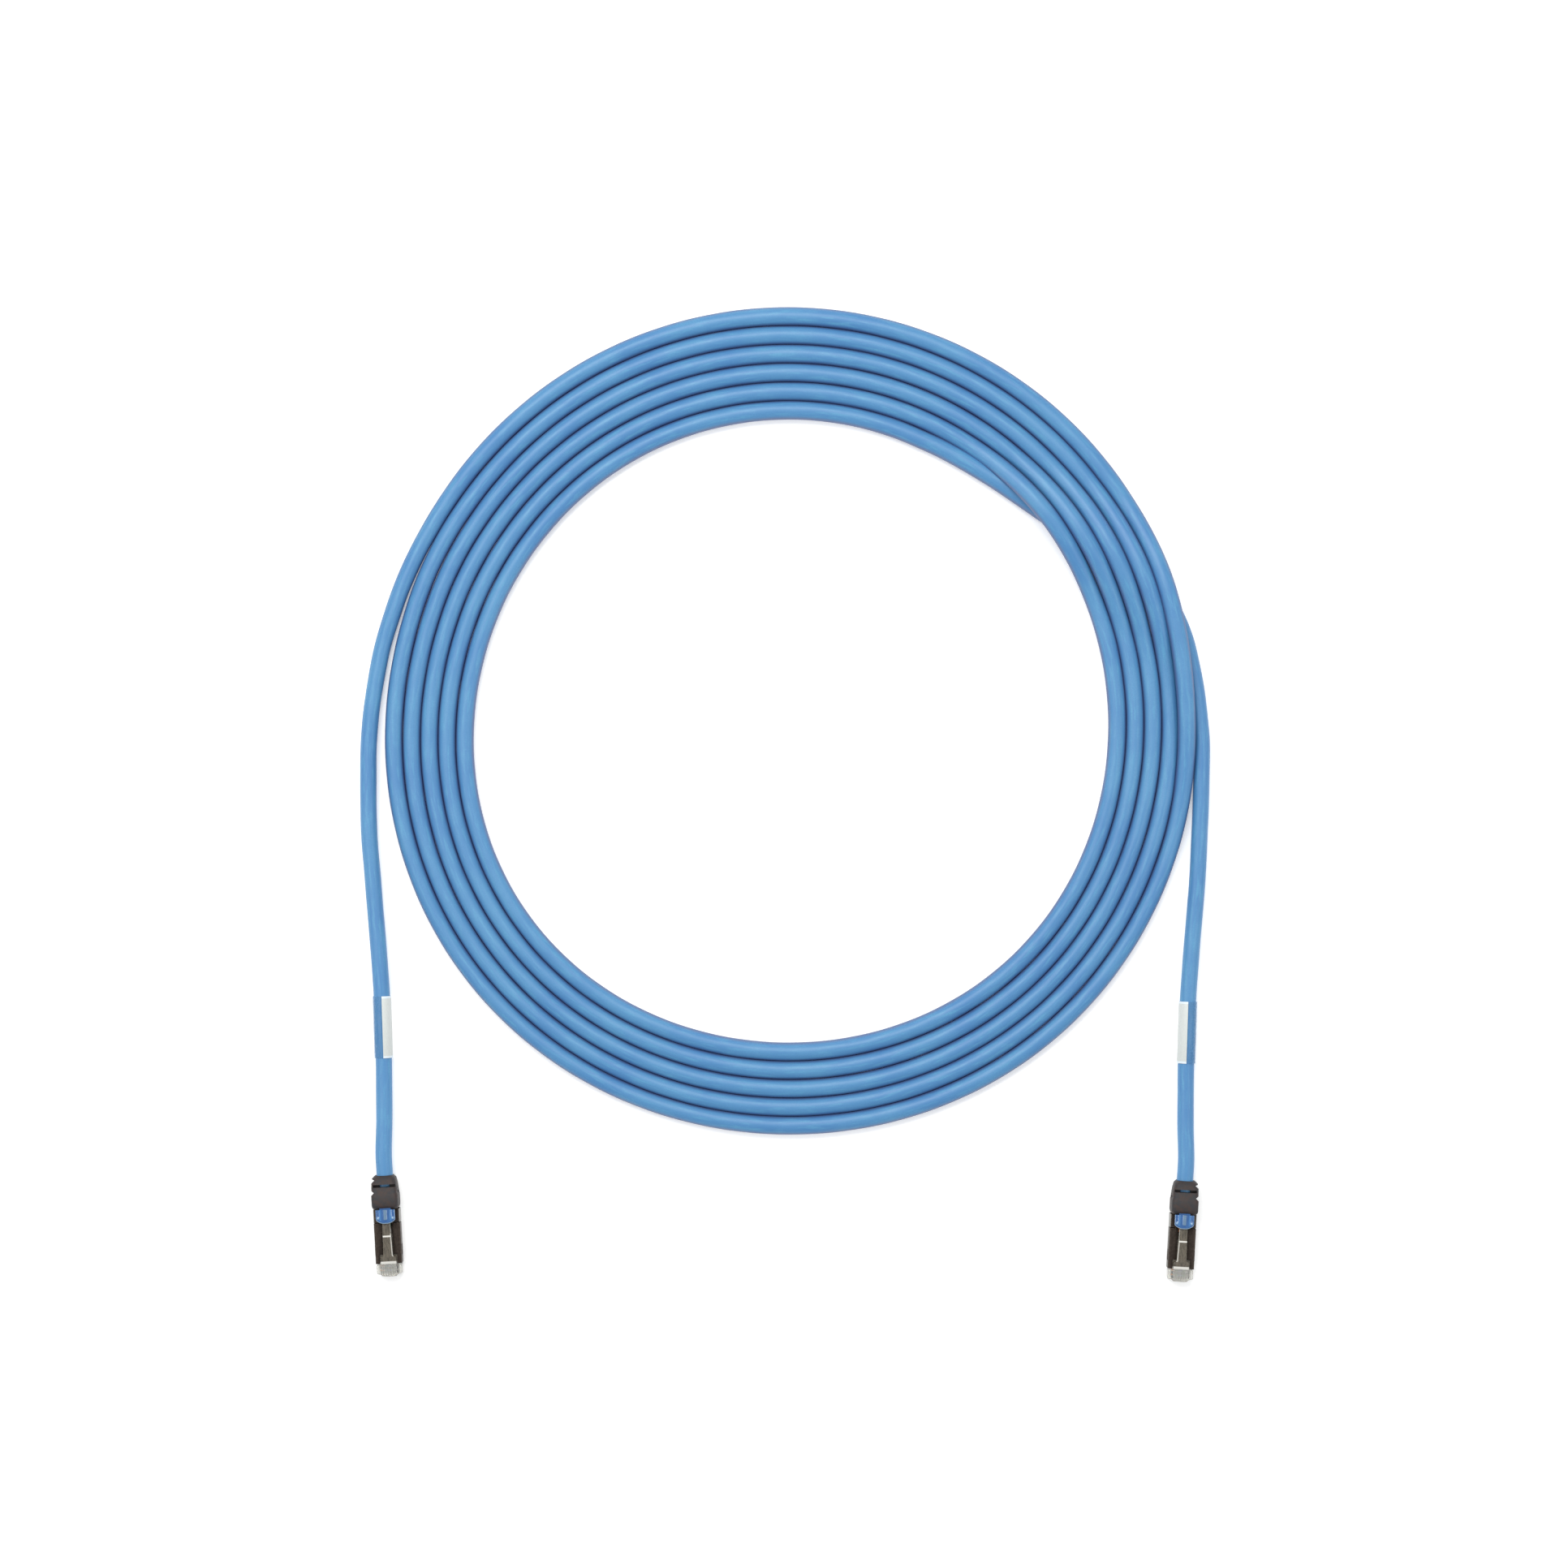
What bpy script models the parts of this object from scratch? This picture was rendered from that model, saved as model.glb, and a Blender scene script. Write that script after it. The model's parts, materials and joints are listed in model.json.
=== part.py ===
"""Ethernet patch cable: one flat coil of round cable with a shielded modular plug at each end.

Lengths are in metres and +Z is up. The cable lies on the plane z = 0, and the origin is on that
plane midway between the two plugs. Both tails run along Y beside each other, from the plugs at
-Y to the coil at +Y.

Each plug is modelled in a frame of its own: the origin is on the floor under the tip of its
nose, +Y runs back along the plug to the cable, +X across it. An empty holds that frame where
the plug lies, so both ends are made by the same functions.
"""
import math

import bmesh
import bpy
from mathutils import Matrix, Vector

MM = 0.001
GAP = 0.3 * MM                     # clearance between neighbouring solids
FINE_GAP = 0.12 * MM               # clearance round the small pieces inside a plug

# Cable, coil and tails
JACKET_RADIUS = 3.6 * MM
COIL_CENTRE = (0.9 * MM, 182.4 * MM)
COIL_INNER_RADIUS = 135.5 * MM
COIL_OUTER_RADIUS = 184.5 * MM
COIL_CORNER = 2.4 * MM
COIL_STEPS = 72
ROUTE_SPACING = 16.0 * MM

# Where the two plugs lie
NOSE_X = 174.9 * MM                # half the distance between the two noses
NOSE_Y = -62.0 * MM
END_SHIFT = 1.2 * MM               # the left end lies this much further along +Y, the right less
PLUG_LEAN = math.radians(3.1)      # the noses point slightly towards each other

# Plug housing
NOSE_HALF_WIDTH = 5.65 * MM
NOSE_LENGTH = 5.1 * MM
# Half of the nose's front edge in plan, side to middle, in mm: its corners stand back 1 mm
NOSE_FRONT = [(5.65, 1.5), (5.15, 1.0), (3.9, 0.9), (3.2, 0.15), (2.6, 0.0)]
HOUSING_BOTTOM = 1.0 * MM
HOUSING_TOP = 7.6 * MM
TRUNK_HALF_WIDTH = 5.2 * MM
TRUNK_BOTTOM = 1.25 * MM
TRUNK_TOP = 7.35 * MM
TRUNK_END = 22.0 * MM
HOUSING_WALL = 0.75 * MM

# Contacts and conductors
WAYS = 8
CONTACT_PITCH = 1.02 * MM
CONTACT_THICKNESS = 0.36 * MM
CONTACT_BOTTOM = 1.2 * MM
CONTACT_TOP = 4.1 * MM
SLOT_WIDTH = 0.6 * MM
SLOT_END = 4.45 * MM
SLOT_TOP = 4.35 * MM
WIRE_RADIUS = 0.45 * MM
WIRE_HEIGHT = 4.9 * MM
WIRE_START = 2.3 * MM
WIRE_END = 30.3 * MM
GUIDE_START = 10.2 * MM
GUIDE_END = 14.8 * MM

# Metal shielding
SHELL_HALF_WIDTH = 5.85 * MM
SHELL_BOTTOM = 0.6 * MM
SHELL_TOP = 8.0 * MM
SHELL_WALL = 0.35 * MM
SHELL_FRONT = 5.4 * MM
SHELL_END = 23.7 * MM
COLLAR_START = 24.0 * MM
COLLAR_END = 29.9 * MM
NOTCH_HALF_WIDTH = 2.4 * MM
NOTCH_WIDE_HALF_WIDTH = 3.9 * MM
NOTCH_WIDE_END = 9.9 * MM
NOTCH_END = 27.2 * MM

# Latch, which turns about a line across the plug at LATCH_PIVOT, (along, up)
LATCH_PIVOT = (1.4 * MM, 8.2 * MM)
LATCH_HALF_WIDTH = 1.9 * MM
LATCH_WIDE_HALF_WIDTH = 3.4 * MM
LATCH_START = 0.5 * MM
LATCH_SHOULDER = 8.7 * MM
LATCH_END = 26.2 * MM
# The latch from the side, (along, up) in mm: along its top with the cross bar, then back below
LATCH_SIDE = [
    (0.5, 7.95), (0.9, 8.35), (5.2, 8.75), (6.4, 9.6), (9.2, 9.85), (17.0, 10.62), (17.1, 10.9),
    (17.8, 10.95), (17.9, 10.4), (26.2, 11.4), (26.2, 10.4), (9.0, 8.75), (5.2, 8.1), (1.0, 7.9),
]

# Latch guard, which turns about a line across the boot at GUARD_PIVOT, (along, up)
GUARD_PIVOT = (34.2 * MM, 11.15 * MM)
GUARD_HALF_WIDTH = 4.25 * MM
GUARD_START = 23.7 * MM
GUARD_END = 29.9 * MM
GUARD_BOTTOM = 12.0 * MM
GUARD_EDGE = 12.35 * MM
GUARD_CROWN = 13.0 * MM
GUARD_CORNER = 1.4 * MM
GUARD_ARM_HALF_WIDTH = 2.5 * MM
GUARD_ARM_BOTTOM, GUARD_ARM_TOP = 11.8 * MM, 12.3 * MM
GUARD_BARREL_RADIUS = 0.95 * MM

# Boot and what it holds
CABLE_HEIGHT = 5.0 * MM            # the cable's axis where it leaves the boot
BOOT_START = 30.2 * MM
BOOT_END = 44.8 * MM
BOOT_BORE_FRONT = 4.4 * MM
BOOT_BORE_REAR = JACKET_RADIUS + GAP
BOOT_BORE_STEP = 36.2 * MM
# V notches down both sides: where each opens and closes along the plug, and where its point is
SIDE_NOTCHES = (
    (35.5 * MM, 37.8 * MM, (36.7 * MM, 4.6 * MM)), (40.9 * MM, 43.4 * MM, (42.3 * MM, 4.3 * MM)),
)
CROSS_SLOT = 39.7 * MM             # through the roof and through the floor
SLOT_HALF_LENGTH = 0.5 * MM
SLOT_HALF_WIDTH = 4.6 * MM
POCKET_FLOOR = 9.2 * MM
# Outline of the boot at places along the plug, in mm: half width, bottom, top, corner radius
BOOT_SECTIONS = {
    30.2: (5.4, 0.1, 13.0, 1.6), 31.2: (5.85, 0.0, 13.2, 1.6), 35.9: (5.85, 0.0, 13.2, 1.6),
    36.7: (5.75, 0.2, 12.7, 1.8), 41.3: (5.75, 0.45, 11.0, 2.2), 42.3: (5.5, 0.6, 10.4, 2.4),
    44.2: (5.2, 0.7, 9.8, 2.8), 44.8: (4.6, 0.9, 9.4, 2.8),
}
STRIPPED_RADIUS = 3.15 * MM
JACKET_START = 30.6 * MM
CRIMP_END = 35.7 * MM
BRAID_INNER, BRAID_OUTER = 3.3 * MM, 3.6 * MM
CRIMP_INNER, CRIMP_OUTER = 3.75 * MM, 4.1 * MM

# Marker label
LABEL_CENTRE = Vector((-178.3 * MM, 48.3 * MM, 4.15 * MM))   # on the left tail, before the shift
LABEL_LEAN = math.radians(1.8)
LABEL_LENGTH = 27.4 * MM
LABEL_INNER, LABEL_OUTER = 3.85 * MM, 4.1 * MM
LABEL_SEAM_TOP = math.radians(96.0)
LABEL_SEAM_BOTTOM = math.radians(-84.0)
LABEL_SEAM_GAP = math.radians(4.0)

# Route of the tails between boot and coil, as distances from the middle plane, from the boot's
# own line, and up from the floor. The left tail is this route and the right one its mirror image.
TAIL_ROUTE = [
    (177.6, 6.0, 4.6), (177.7, 20.0, 4.2), (177.85, 34.0, 4.15), (178.3, 48.3, 4.15),
    (178.75, 62.6, 4.15), (179.6, 75.0, 4.0), (180.7, 89.0, 3.8), (181.9, 103.0, 3.7),
    (183.0, 117.0, 3.65),
]
LEFT_TAIL_END = [(184.2, 131.0, 3.65), (184.7, 146.0, 3.65)]
RIGHT_TAIL_END = [(183.9, 136.0, 3.65)]

for old in list(bpy.data.objects):
    bpy.data.objects.remove(old, do_unlink=True)

parts = bpy.data.collections.new("ethernet_patch_cable")
cutters = bpy.data.collections.new("cutters")
bpy.context.scene.collection.children.link(parts)
bpy.context.scene.collection.children.link(cutters)


def material(name, colour, roughness, metallic=0.0, alpha=1.0):
    mat = bpy.data.materials.new(name)
    mat.use_nodes = True
    shader = mat.node_tree.nodes["Principled BSDF"]
    shader.inputs["Base Color"].default_value = (*colour, 1.0)
    shader.inputs["Roughness"].default_value = roughness
    shader.inputs["Metallic"].default_value = metallic
    shader.inputs["Alpha"].default_value = alpha
    mat.diffuse_color = (*colour, alpha)
    return mat


JACKET = material("jacket_blue", (0.10, 0.33, 0.66), 0.4)
BOOT = material("boot_black", (0.04, 0.04, 0.045), 0.55)
GUARD = material("guard_blue", (0.06, 0.22, 0.60), 0.2)
CLEAR = material("clear_plastic", (0.86, 0.88, 0.84), 0.1, alpha=0.45)
SHELL = material("shell_metal", (0.11, 0.10, 0.10), 0.35, 0.9)
BRIGHT = material("bright_metal", (0.62, 0.62, 0.60), 0.3, 1.0)
GOLD = material("contact_gold", (0.83, 0.62, 0.25), 0.25, 1.0)
GUIDE = material("guide_plastic", (0.80, 0.80, 0.76), 0.35)
PANEL = material("label_white", (0.84, 0.85, 0.84), 0.5)
FILM = material("label_film", (0.55, 0.72, 0.88), 0.2, alpha=0.5)
WIRE_COLOURS = {
    "white_orange": (0.85, 0.62, 0.42), "orange": (0.85, 0.30, 0.04),
    "white_green": (0.55, 0.78, 0.55), "blue": (0.05, 0.16, 0.60),
    "white_blue": (0.52, 0.64, 0.85), "green": (0.03, 0.35, 0.10),
    "white_brown": (0.66, 0.52, 0.42), "brown": (0.20, 0.09, 0.04),
}
WIRES = [material("wire_" + name, colour, 0.4) for name, colour in WIRE_COLOURS.items()]


def new_object(name, data, mat=None, frame=None, cutter=False):
    """Put an object in its collection, in the frame of its end, with its material."""
    obj = bpy.data.objects.new(name, data)
    if cutter:
        cutters.objects.link(obj)
        obj.hide_render = True
        obj.display_type = "WIRE"
    else:
        parts.objects.link(obj)
        data.materials.append(mat)
    obj.parent = frame
    return obj


def mesh_object(name, bm, mat=None, frame=None, cutter=False, smooth=False):
    bmesh.ops.recalc_face_normals(bm, faces=bm.faces)
    mesh = bpy.data.meshes.new(name)
    bm.to_mesh(mesh)
    bm.free()
    if smooth:
        mesh.shade_smooth()
        mesh.set_sharp_from_angle(angle=math.radians(35))
    return new_object(name, mesh, mat, frame, cutter)


def box(name, low, high, mat=None, frame=None, cutter=False):
    """A block between two corners."""
    bm = bmesh.new()
    bmesh.ops.create_cube(bm, size=1.0)
    size = [h - l for l, h in zip(low, high)]
    centre = [(h + l) / 2 for l, h in zip(low, high)]
    bmesh.ops.scale(bm, vec=size, verts=bm.verts)
    bmesh.ops.translate(bm, vec=centre, verts=bm.verts)
    return mesh_object(name, bm, mat, frame, cutter)


def cylinder_y(name, radius, start, end, height, sides=24, frame=None, cutter=True):
    """A round bar along Y, from start to end, with its axis at the given height."""
    bm = bmesh.new()
    turn = Matrix.Rotation(math.radians(90), 4, "X")
    place = Matrix.Translation((0, (start + end) / 2, height))
    bmesh.ops.create_cone(bm, cap_ends=True, segments=sides, radius1=radius, radius2=radius,
                          depth=end - start, matrix=place @ turn)
    return mesh_object(name, bm, None, frame, cutter)


# How an outline's own plane is turned: its first axis, its second, and the one it is extruded on
PLANES = {
    "XY": Matrix.Identity(4),
    "XZ": Matrix(((1, 0, 0, 0), (0, 0, -1, 0), (0, 1, 0, 0), (0, 0, 0, 1))),
    "YZ": Matrix(((0, 0, 1, 0), (1, 0, 0, 0), (0, 1, 0, 0), (0, 0, 0, 1))),
}


def extrusion(name, outlines, plane, low, high, mat=None, frame=None, cutter=False):
    """A flat outline, and any hole inside it, given thickness from low to high."""
    curve = bpy.data.curves.new(name + "_outline", "CURVE")
    curve.dimensions = "2D"
    curve.fill_mode = "BOTH"
    curve.extrude = (high - low) / 2
    for outline in outlines:
        spline = curve.splines.new("POLY")
        spline.points.add(len(outline) - 1)
        for point, (u, v) in zip(spline.points, outline):
            point.co = (u, v, 0, 1)
        spline.use_cyclic_u = True
    source = bpy.data.objects.new(name + "_outline", curve)
    parts.objects.link(source)
    bpy.context.view_layer.update()
    mesh = bpy.data.meshes.new_from_object(source.evaluated_get(
        bpy.context.evaluated_depsgraph_get()))
    bpy.data.objects.remove(source, do_unlink=True)
    bpy.data.curves.remove(curve)
    bm = bmesh.new()
    bm.from_mesh(mesh)
    bpy.data.meshes.remove(mesh)
    bmesh.ops.remove_doubles(bm, verts=bm.verts, dist=1e-6)
    middle = (low + high) / 2 * (-1 if plane == "XZ" else 1)
    bmesh.ops.translate(bm, vec=(0, 0, middle), verts=bm.verts)
    bmesh.ops.transform(bm, matrix=PLANES[plane], verts=bm.verts)
    return mesh_object(name, bm, mat, frame, cutter)


def arc(radius, start, end, steps, centre=(0.0, 0.0)):
    """Points on an arc, both ends included."""
    angles = [start + (end - start) * i / steps for i in range(steps + 1)]
    return [(centre[0] + radius * math.cos(a), centre[1] + radius * math.sin(a)) for a in angles]


def rounded_rectangle(left, right, low, high, radius, steps=3):
    """Outline of a rectangle with rounded corners, anticlockwise."""
    corners = ((right, high, 1, 1), (left, high, -1, 1), (left, low, -1, -1), (right, low, 1, -1))
    points = []
    for quarter, (u, v, su, sv) in enumerate(corners):
        start = quarter * math.pi / 2
        points += arc(radius, start, start + math.pi / 2, steps,
                      (u - su * radius, v - sv * radius))
    return points


def combine(target, other, operation):
    mod = target.modifiers.new(other.name, "BOOLEAN")
    mod.operation = operation
    mod.object = other
    mod.solver = "EXACT"


def hinge(body, pivot, frame):
    """Hang a moving piece on an empty that stands on its joint's axis."""
    axis = bpy.data.objects.new(body.name + "_hinge", None)
    parts.objects.link(axis)
    axis.parent = frame
    axis.location = (0, *pivot)
    body.parent = axis
    body.location = -axis.location


def coil():
    """Outer shape of the coil of cable, a turned ring that the turns fit inside."""
    section = rounded_rectangle(COIL_INNER_RADIUS, COIL_OUTER_RADIUS, 0.0, 2 * JACKET_RADIUS,
                                COIL_CORNER)
    section.reverse()              # down the outer side, so the turned faces look outwards
    bm = bmesh.new()
    verts = [bm.verts.new((r, 0, z)) for r, z in section]
    for a, b in zip(verts, verts[1:] + verts[:1]):
        bm.edges.new((a, b))
    mesh = bpy.data.meshes.new("cord_coil")
    bm.to_mesh(mesh)
    bm.free()
    obj = new_object("cord_coil", mesh, JACKET)
    obj.location = (*COIL_CENTRE, 0)
    screw = obj.modifiers.new("turn", "SCREW")
    screw.steps = screw.render_steps = COIL_STEPS
    screw.use_merge_vertices = True
    screw.merge_threshold = 0.0001


def smooth_route(points, spacing):
    """Evenly spread points on a smooth curve through the route's own points."""
    ends = [points[0] * 2 - points[1]] + points + [points[-1] * 2 - points[-2]]
    fine = []
    for a, b, c, d in zip(ends, ends[1:], ends[2:], ends[3:]):
        for i in range(20):
            t = i / 20
            fine.append(0.5 * (2 * b + (c - a) * t + (2 * a - 5 * b + 4 * c - d) * t ** 2
                               + (3 * b - a - 3 * c + d) * t ** 3))
    fine.append(points[-1])
    lengths = [0.0]
    for a, b in zip(fine, fine[1:]):
        lengths.append(lengths[-1] + (b - a).length)
    count = max(2, round(lengths[-1] / spacing))
    route = []
    for i in range(count + 1):
        goal = lengths[-1] * i / count
        k = next(j for j, length in enumerate(lengths) if length >= goal - 1e-9)
        k = max(k, 1)
        t = (goal - lengths[k - 1]) / (lengths[k] - lengths[k - 1])
        route.append(fine[k - 1].lerp(fine[k], t))
    return route


def tail(name, side, last_points):
    """The length of cable between a boot and the coil."""
    shift = -side * END_SHIFT
    axis = Vector((side * math.sin(PLUG_LEAN), math.cos(PLUG_LEAN), 0))
    nose = Vector((side * NOSE_X, NOSE_Y + shift, CABLE_HEIGHT))
    route = [nose + axis * (BOOT_END + GAP), nose + axis * (BOOT_END + 10 * MM)]
    for across, along, up in TAIL_ROUTE + last_points:
        route.append(Vector((side * across * MM, along * MM + shift, up * MM)))
    curve = bpy.data.curves.new(name, "CURVE")
    curve.dimensions = "3D"
    curve.bevel_depth = JACKET_RADIUS
    curve.bevel_resolution = 3
    curve.use_fill_caps = True
    points = smooth_route(route, ROUTE_SPACING)
    spline = curve.splines.new("POLY")
    spline.points.add(len(points) - 1)
    for point, place in zip(spline.points, points):
        point.co = (*place, 1)
    new_object(name, curve, JACKET)


def slot_x(way):
    return (way - (WAYS - 1) / 2) * CONTACT_PITCH


def housing(end, frame):
    """Clear plug body: nose with open contact slots, narrower trunk, hollow for the conductors."""
    outline = [(NOSE_HALF_WIDTH, NOSE_LENGTH), (-NOSE_HALF_WIDTH, NOSE_LENGTH)]
    outline += [(-x * MM, y * MM) for x, y in NOSE_FRONT]
    outline += [(x * MM, y * MM) for x, y in reversed(NOSE_FRONT)]
    body = extrusion(end + "_plug_housing", [outline], "XY", HOUSING_BOTTOM, HOUSING_TOP,
                     CLEAR, frame)
    trunk = box(end + "_trunk", (-TRUNK_HALF_WIDTH, NOSE_LENGTH - 0.2 * MM, TRUNK_BOTTOM),
                (TRUNK_HALF_WIDTH, TRUNK_END, TRUNK_TOP), frame=frame, cutter=True)
    combine(body, trunk, "UNION")
    hollow_half = TRUNK_HALF_WIDTH - HOUSING_WALL
    hollows = {
        "wire_channel": ((-hollow_half, 2.0 * MM, 4.25 * MM), (hollow_half, 9.2 * MM, 5.6 * MM)),
        "wire_chamber": ((-hollow_half, 9.0 * MM, 2.2 * MM), (hollow_half, 23 * MM, 6.75 * MM)),
    }
    for name, (low, high) in hollows.items():
        combine(body, box(end + "_" + name, low, high, frame=frame, cutter=True), "DIFFERENCE")
    for way in range(WAYS):
        x = slot_x(way)
        slot = box(f"{end}_contact_slot_{way + 1}",
                   (x - SLOT_WIDTH / 2, -0.5 * MM, HOUSING_BOTTOM - 0.5 * MM),
                   (x + SLOT_WIDTH / 2, SLOT_END, SLOT_TOP), frame=frame, cutter=True)
        combine(body, slot, "DIFFERENCE")


def contacts_and_wires(end, frame):
    """Eight gold blades in the nose, and the eight conductors that run back to the cable."""
    back = SLOT_END - 0.2 * MM
    tooth = 0.7 * MM
    blade = [(1.3 * MM, 1.9 * MM), (1.95 * MM, CONTACT_BOTTOM), (back, CONTACT_BOTTOM),
             (back, CONTACT_TOP - tooth), (back - 0.3 * MM, CONTACT_TOP),
             (back - tooth, CONTACT_TOP - tooth), (2.5 * MM, CONTACT_TOP - tooth),
             (2.1 * MM, CONTACT_TOP), (1.8 * MM, CONTACT_TOP - tooth),
             (1.3 * MM, CONTACT_TOP - tooth)]
    for way in range(WAYS):
        x = slot_x(way)
        extrusion(f"{end}_contact_{way + 1}", [blade], "YZ", x - CONTACT_THICKNESS / 2,
                  x + CONTACT_THICKNESS / 2, GOLD, frame)
        up = 0.65 * MM if way % 2 else -0.65 * MM
        route = [(x, WIRE_START, WIRE_HEIGHT), (x, 15.4 * MM, WIRE_HEIGHT),
                 (x * 0.88, 18.6 * MM, WIRE_HEIGHT + up * 0.6),
                 (x * 0.72, 22.0 * MM, WIRE_HEIGHT + up), (x * 0.64, WIRE_END, WIRE_HEIGHT + up)]
        name = f"{end}_wire_{way + 1}"
        curve = bpy.data.curves.new(name, "CURVE")
        curve.dimensions = "3D"
        curve.bevel_depth = WIRE_RADIUS
        curve.bevel_resolution = 2
        curve.use_fill_caps = True
        spline = curve.splines.new("POLY")
        spline.points.add(len(route) - 1)
        for point, place in zip(spline.points, route):
            point.co = (*place, 1)
        new_object(name, curve, WIRES[way], frame)


def wire_guide(end, frame):
    """Bar inside the housing that keeps the conductors side by side."""
    half = TRUNK_HALF_WIDTH - 1.0 * MM
    body = box(end + "_wire_guide", (-half, GUIDE_START, 3.5 * MM), (half, GUIDE_END, 6.4 * MM),
               GUIDE, frame)
    reach = WIRE_RADIUS + 0.15 * MM
    side = slot_x(WAYS - 1) + WIRE_RADIUS + FINE_GAP
    passage = box(end + "_guide_passage", (-side, GUIDE_START - 1 * MM, WIRE_HEIGHT - reach),
                  (side, GUIDE_END + 1 * MM, WIRE_HEIGHT + reach), frame=frame, cutter=True)
    combine(body, passage, "DIFFERENCE")


def metal_sleeve(name, start, end, mat, frame):
    outer = rounded_rectangle(-SHELL_HALF_WIDTH, SHELL_HALF_WIDTH, SHELL_BOTTOM, SHELL_TOP,
                              0.6 * MM, 2)
    inner = rounded_rectangle(-SHELL_HALF_WIDTH + SHELL_WALL, SHELL_HALF_WIDTH - SHELL_WALL,
                              SHELL_BOTTOM + SHELL_WALL, SHELL_TOP - SHELL_WALL, 0.3 * MM, 2)
    return extrusion(name, [outer, inner], "XZ", start, end, mat, frame)


def shielding(end, frame):
    """Folded metal round the housing and the conductors, open along the top for the latch."""
    shell = metal_sleeve(end + "_shield_shell", SHELL_FRONT, SHELL_END, SHELL, frame)
    collar = metal_sleeve(end + "_shield_collar", COLLAR_START, COLLAR_END, BRIGHT, frame)
    low = SHELL_TOP - 0.8 * MM
    high = SHELL_TOP + 1.0 * MM
    notch = box(end + "_latch_notch", (-NOTCH_HALF_WIDTH, SHELL_FRONT + 1 * MM, low),
                (NOTCH_HALF_WIDTH, NOTCH_END, high), frame=frame, cutter=True)
    wide = box(end + "_shoulder_notch", (-NOTCH_WIDE_HALF_WIDTH, SHELL_FRONT - 1 * MM, low),
               (NOTCH_WIDE_HALF_WIDTH, NOTCH_WIDE_END, high), frame=frame, cutter=True)
    combine(shell, wide, "DIFFERENCE")
    combine(shell, notch, "DIFFERENCE")
    combine(collar, notch, "DIFFERENCE")


def latch(end, frame):
    """Locking tab: a thin web at the nose, wide shoulders, then a narrow finger with a cross bar."""
    side = [(y * MM, z * MM) for y, z in LATCH_SIDE]
    body = extrusion(end + "_latch", [side], "YZ", -LATCH_WIDE_HALF_WIDTH, LATCH_WIDE_HALF_WIDTH,
                     CLEAR, frame)
    wide, narrow, corner = LATCH_WIDE_HALF_WIDTH + 0.2 * MM, LATCH_HALF_WIDTH, 0.6 * MM
    neck = LATCH_SHOULDER + 0.7 * MM
    half = [(wide, LATCH_START - 1 * MM), (wide, LATCH_SHOULDER), (narrow, neck),
            (narrow, LATCH_END - corner), (narrow - corner, LATCH_END)]
    plan = half + [(-x, y) for x, y in reversed(half)]
    outline = extrusion(end + "_latch_plan", [plan], "XY", 7 * MM, 13 * MM, frame=frame,
                        cutter=True)
    combine(body, outline, "INTERSECT")
    hinge(body, LATCH_PIVOT, frame)


def latch_guard(end, frame):
    """Blue hood over the latch's free end, on an arm that is hinged inside the boot."""
    half = GUARD_HALF_WIDTH
    crown = [(half, GUARD_BOTTOM), (half, GUARD_EDGE)]
    for i in range(1, 8):
        x = half * math.cos(math.pi * i / 8)
        crown.append((x, GUARD_EDGE + (GUARD_CROWN - GUARD_EDGE) * math.sin(math.pi * i / 8)))
    crown += [(-half, GUARD_EDGE), (-half, GUARD_BOTTOM)]
    body = extrusion(end + "_latch_guard", [crown], "XZ", GUARD_START, GUARD_END, GUARD, frame)
    corner = GUARD_CORNER
    plan = arc(corner, math.pi, 1.5 * math.pi, 4, (-half + corner, GUARD_START + corner))
    plan += arc(corner, 1.5 * math.pi, 2 * math.pi, 4, (half - corner, GUARD_START + corner))
    plan += [(half + 1 * MM, GUARD_END + 1 * MM), (-half - 1 * MM, GUARD_END + 1 * MM)]
    rounded = extrusion(end + "_guard_plan", [plan], "XY", 11 * MM, 14 * MM, frame=frame,
                        cutter=True)
    combine(body, rounded, "INTERSECT")
    arm = GUARD_ARM_HALF_WIDTH
    root = GUARD_END - 1.5 * MM
    lever = [(root, GUARD_ARM_TOP), (root, GUARD_ARM_BOTTOM), (BOOT_START, 10.75 * MM)]
    lever += arc(GUARD_BARREL_RADIUS, math.radians(-120), math.radians(100), 8, GUARD_PIVOT)
    arm_body = extrusion(end + "_guard_arm", [lever], "YZ", -arm, arm, frame=frame, cutter=True)
    combine(body, arm_body, "UNION")
    hinge(body, GUARD_PIVOT, frame)


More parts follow.
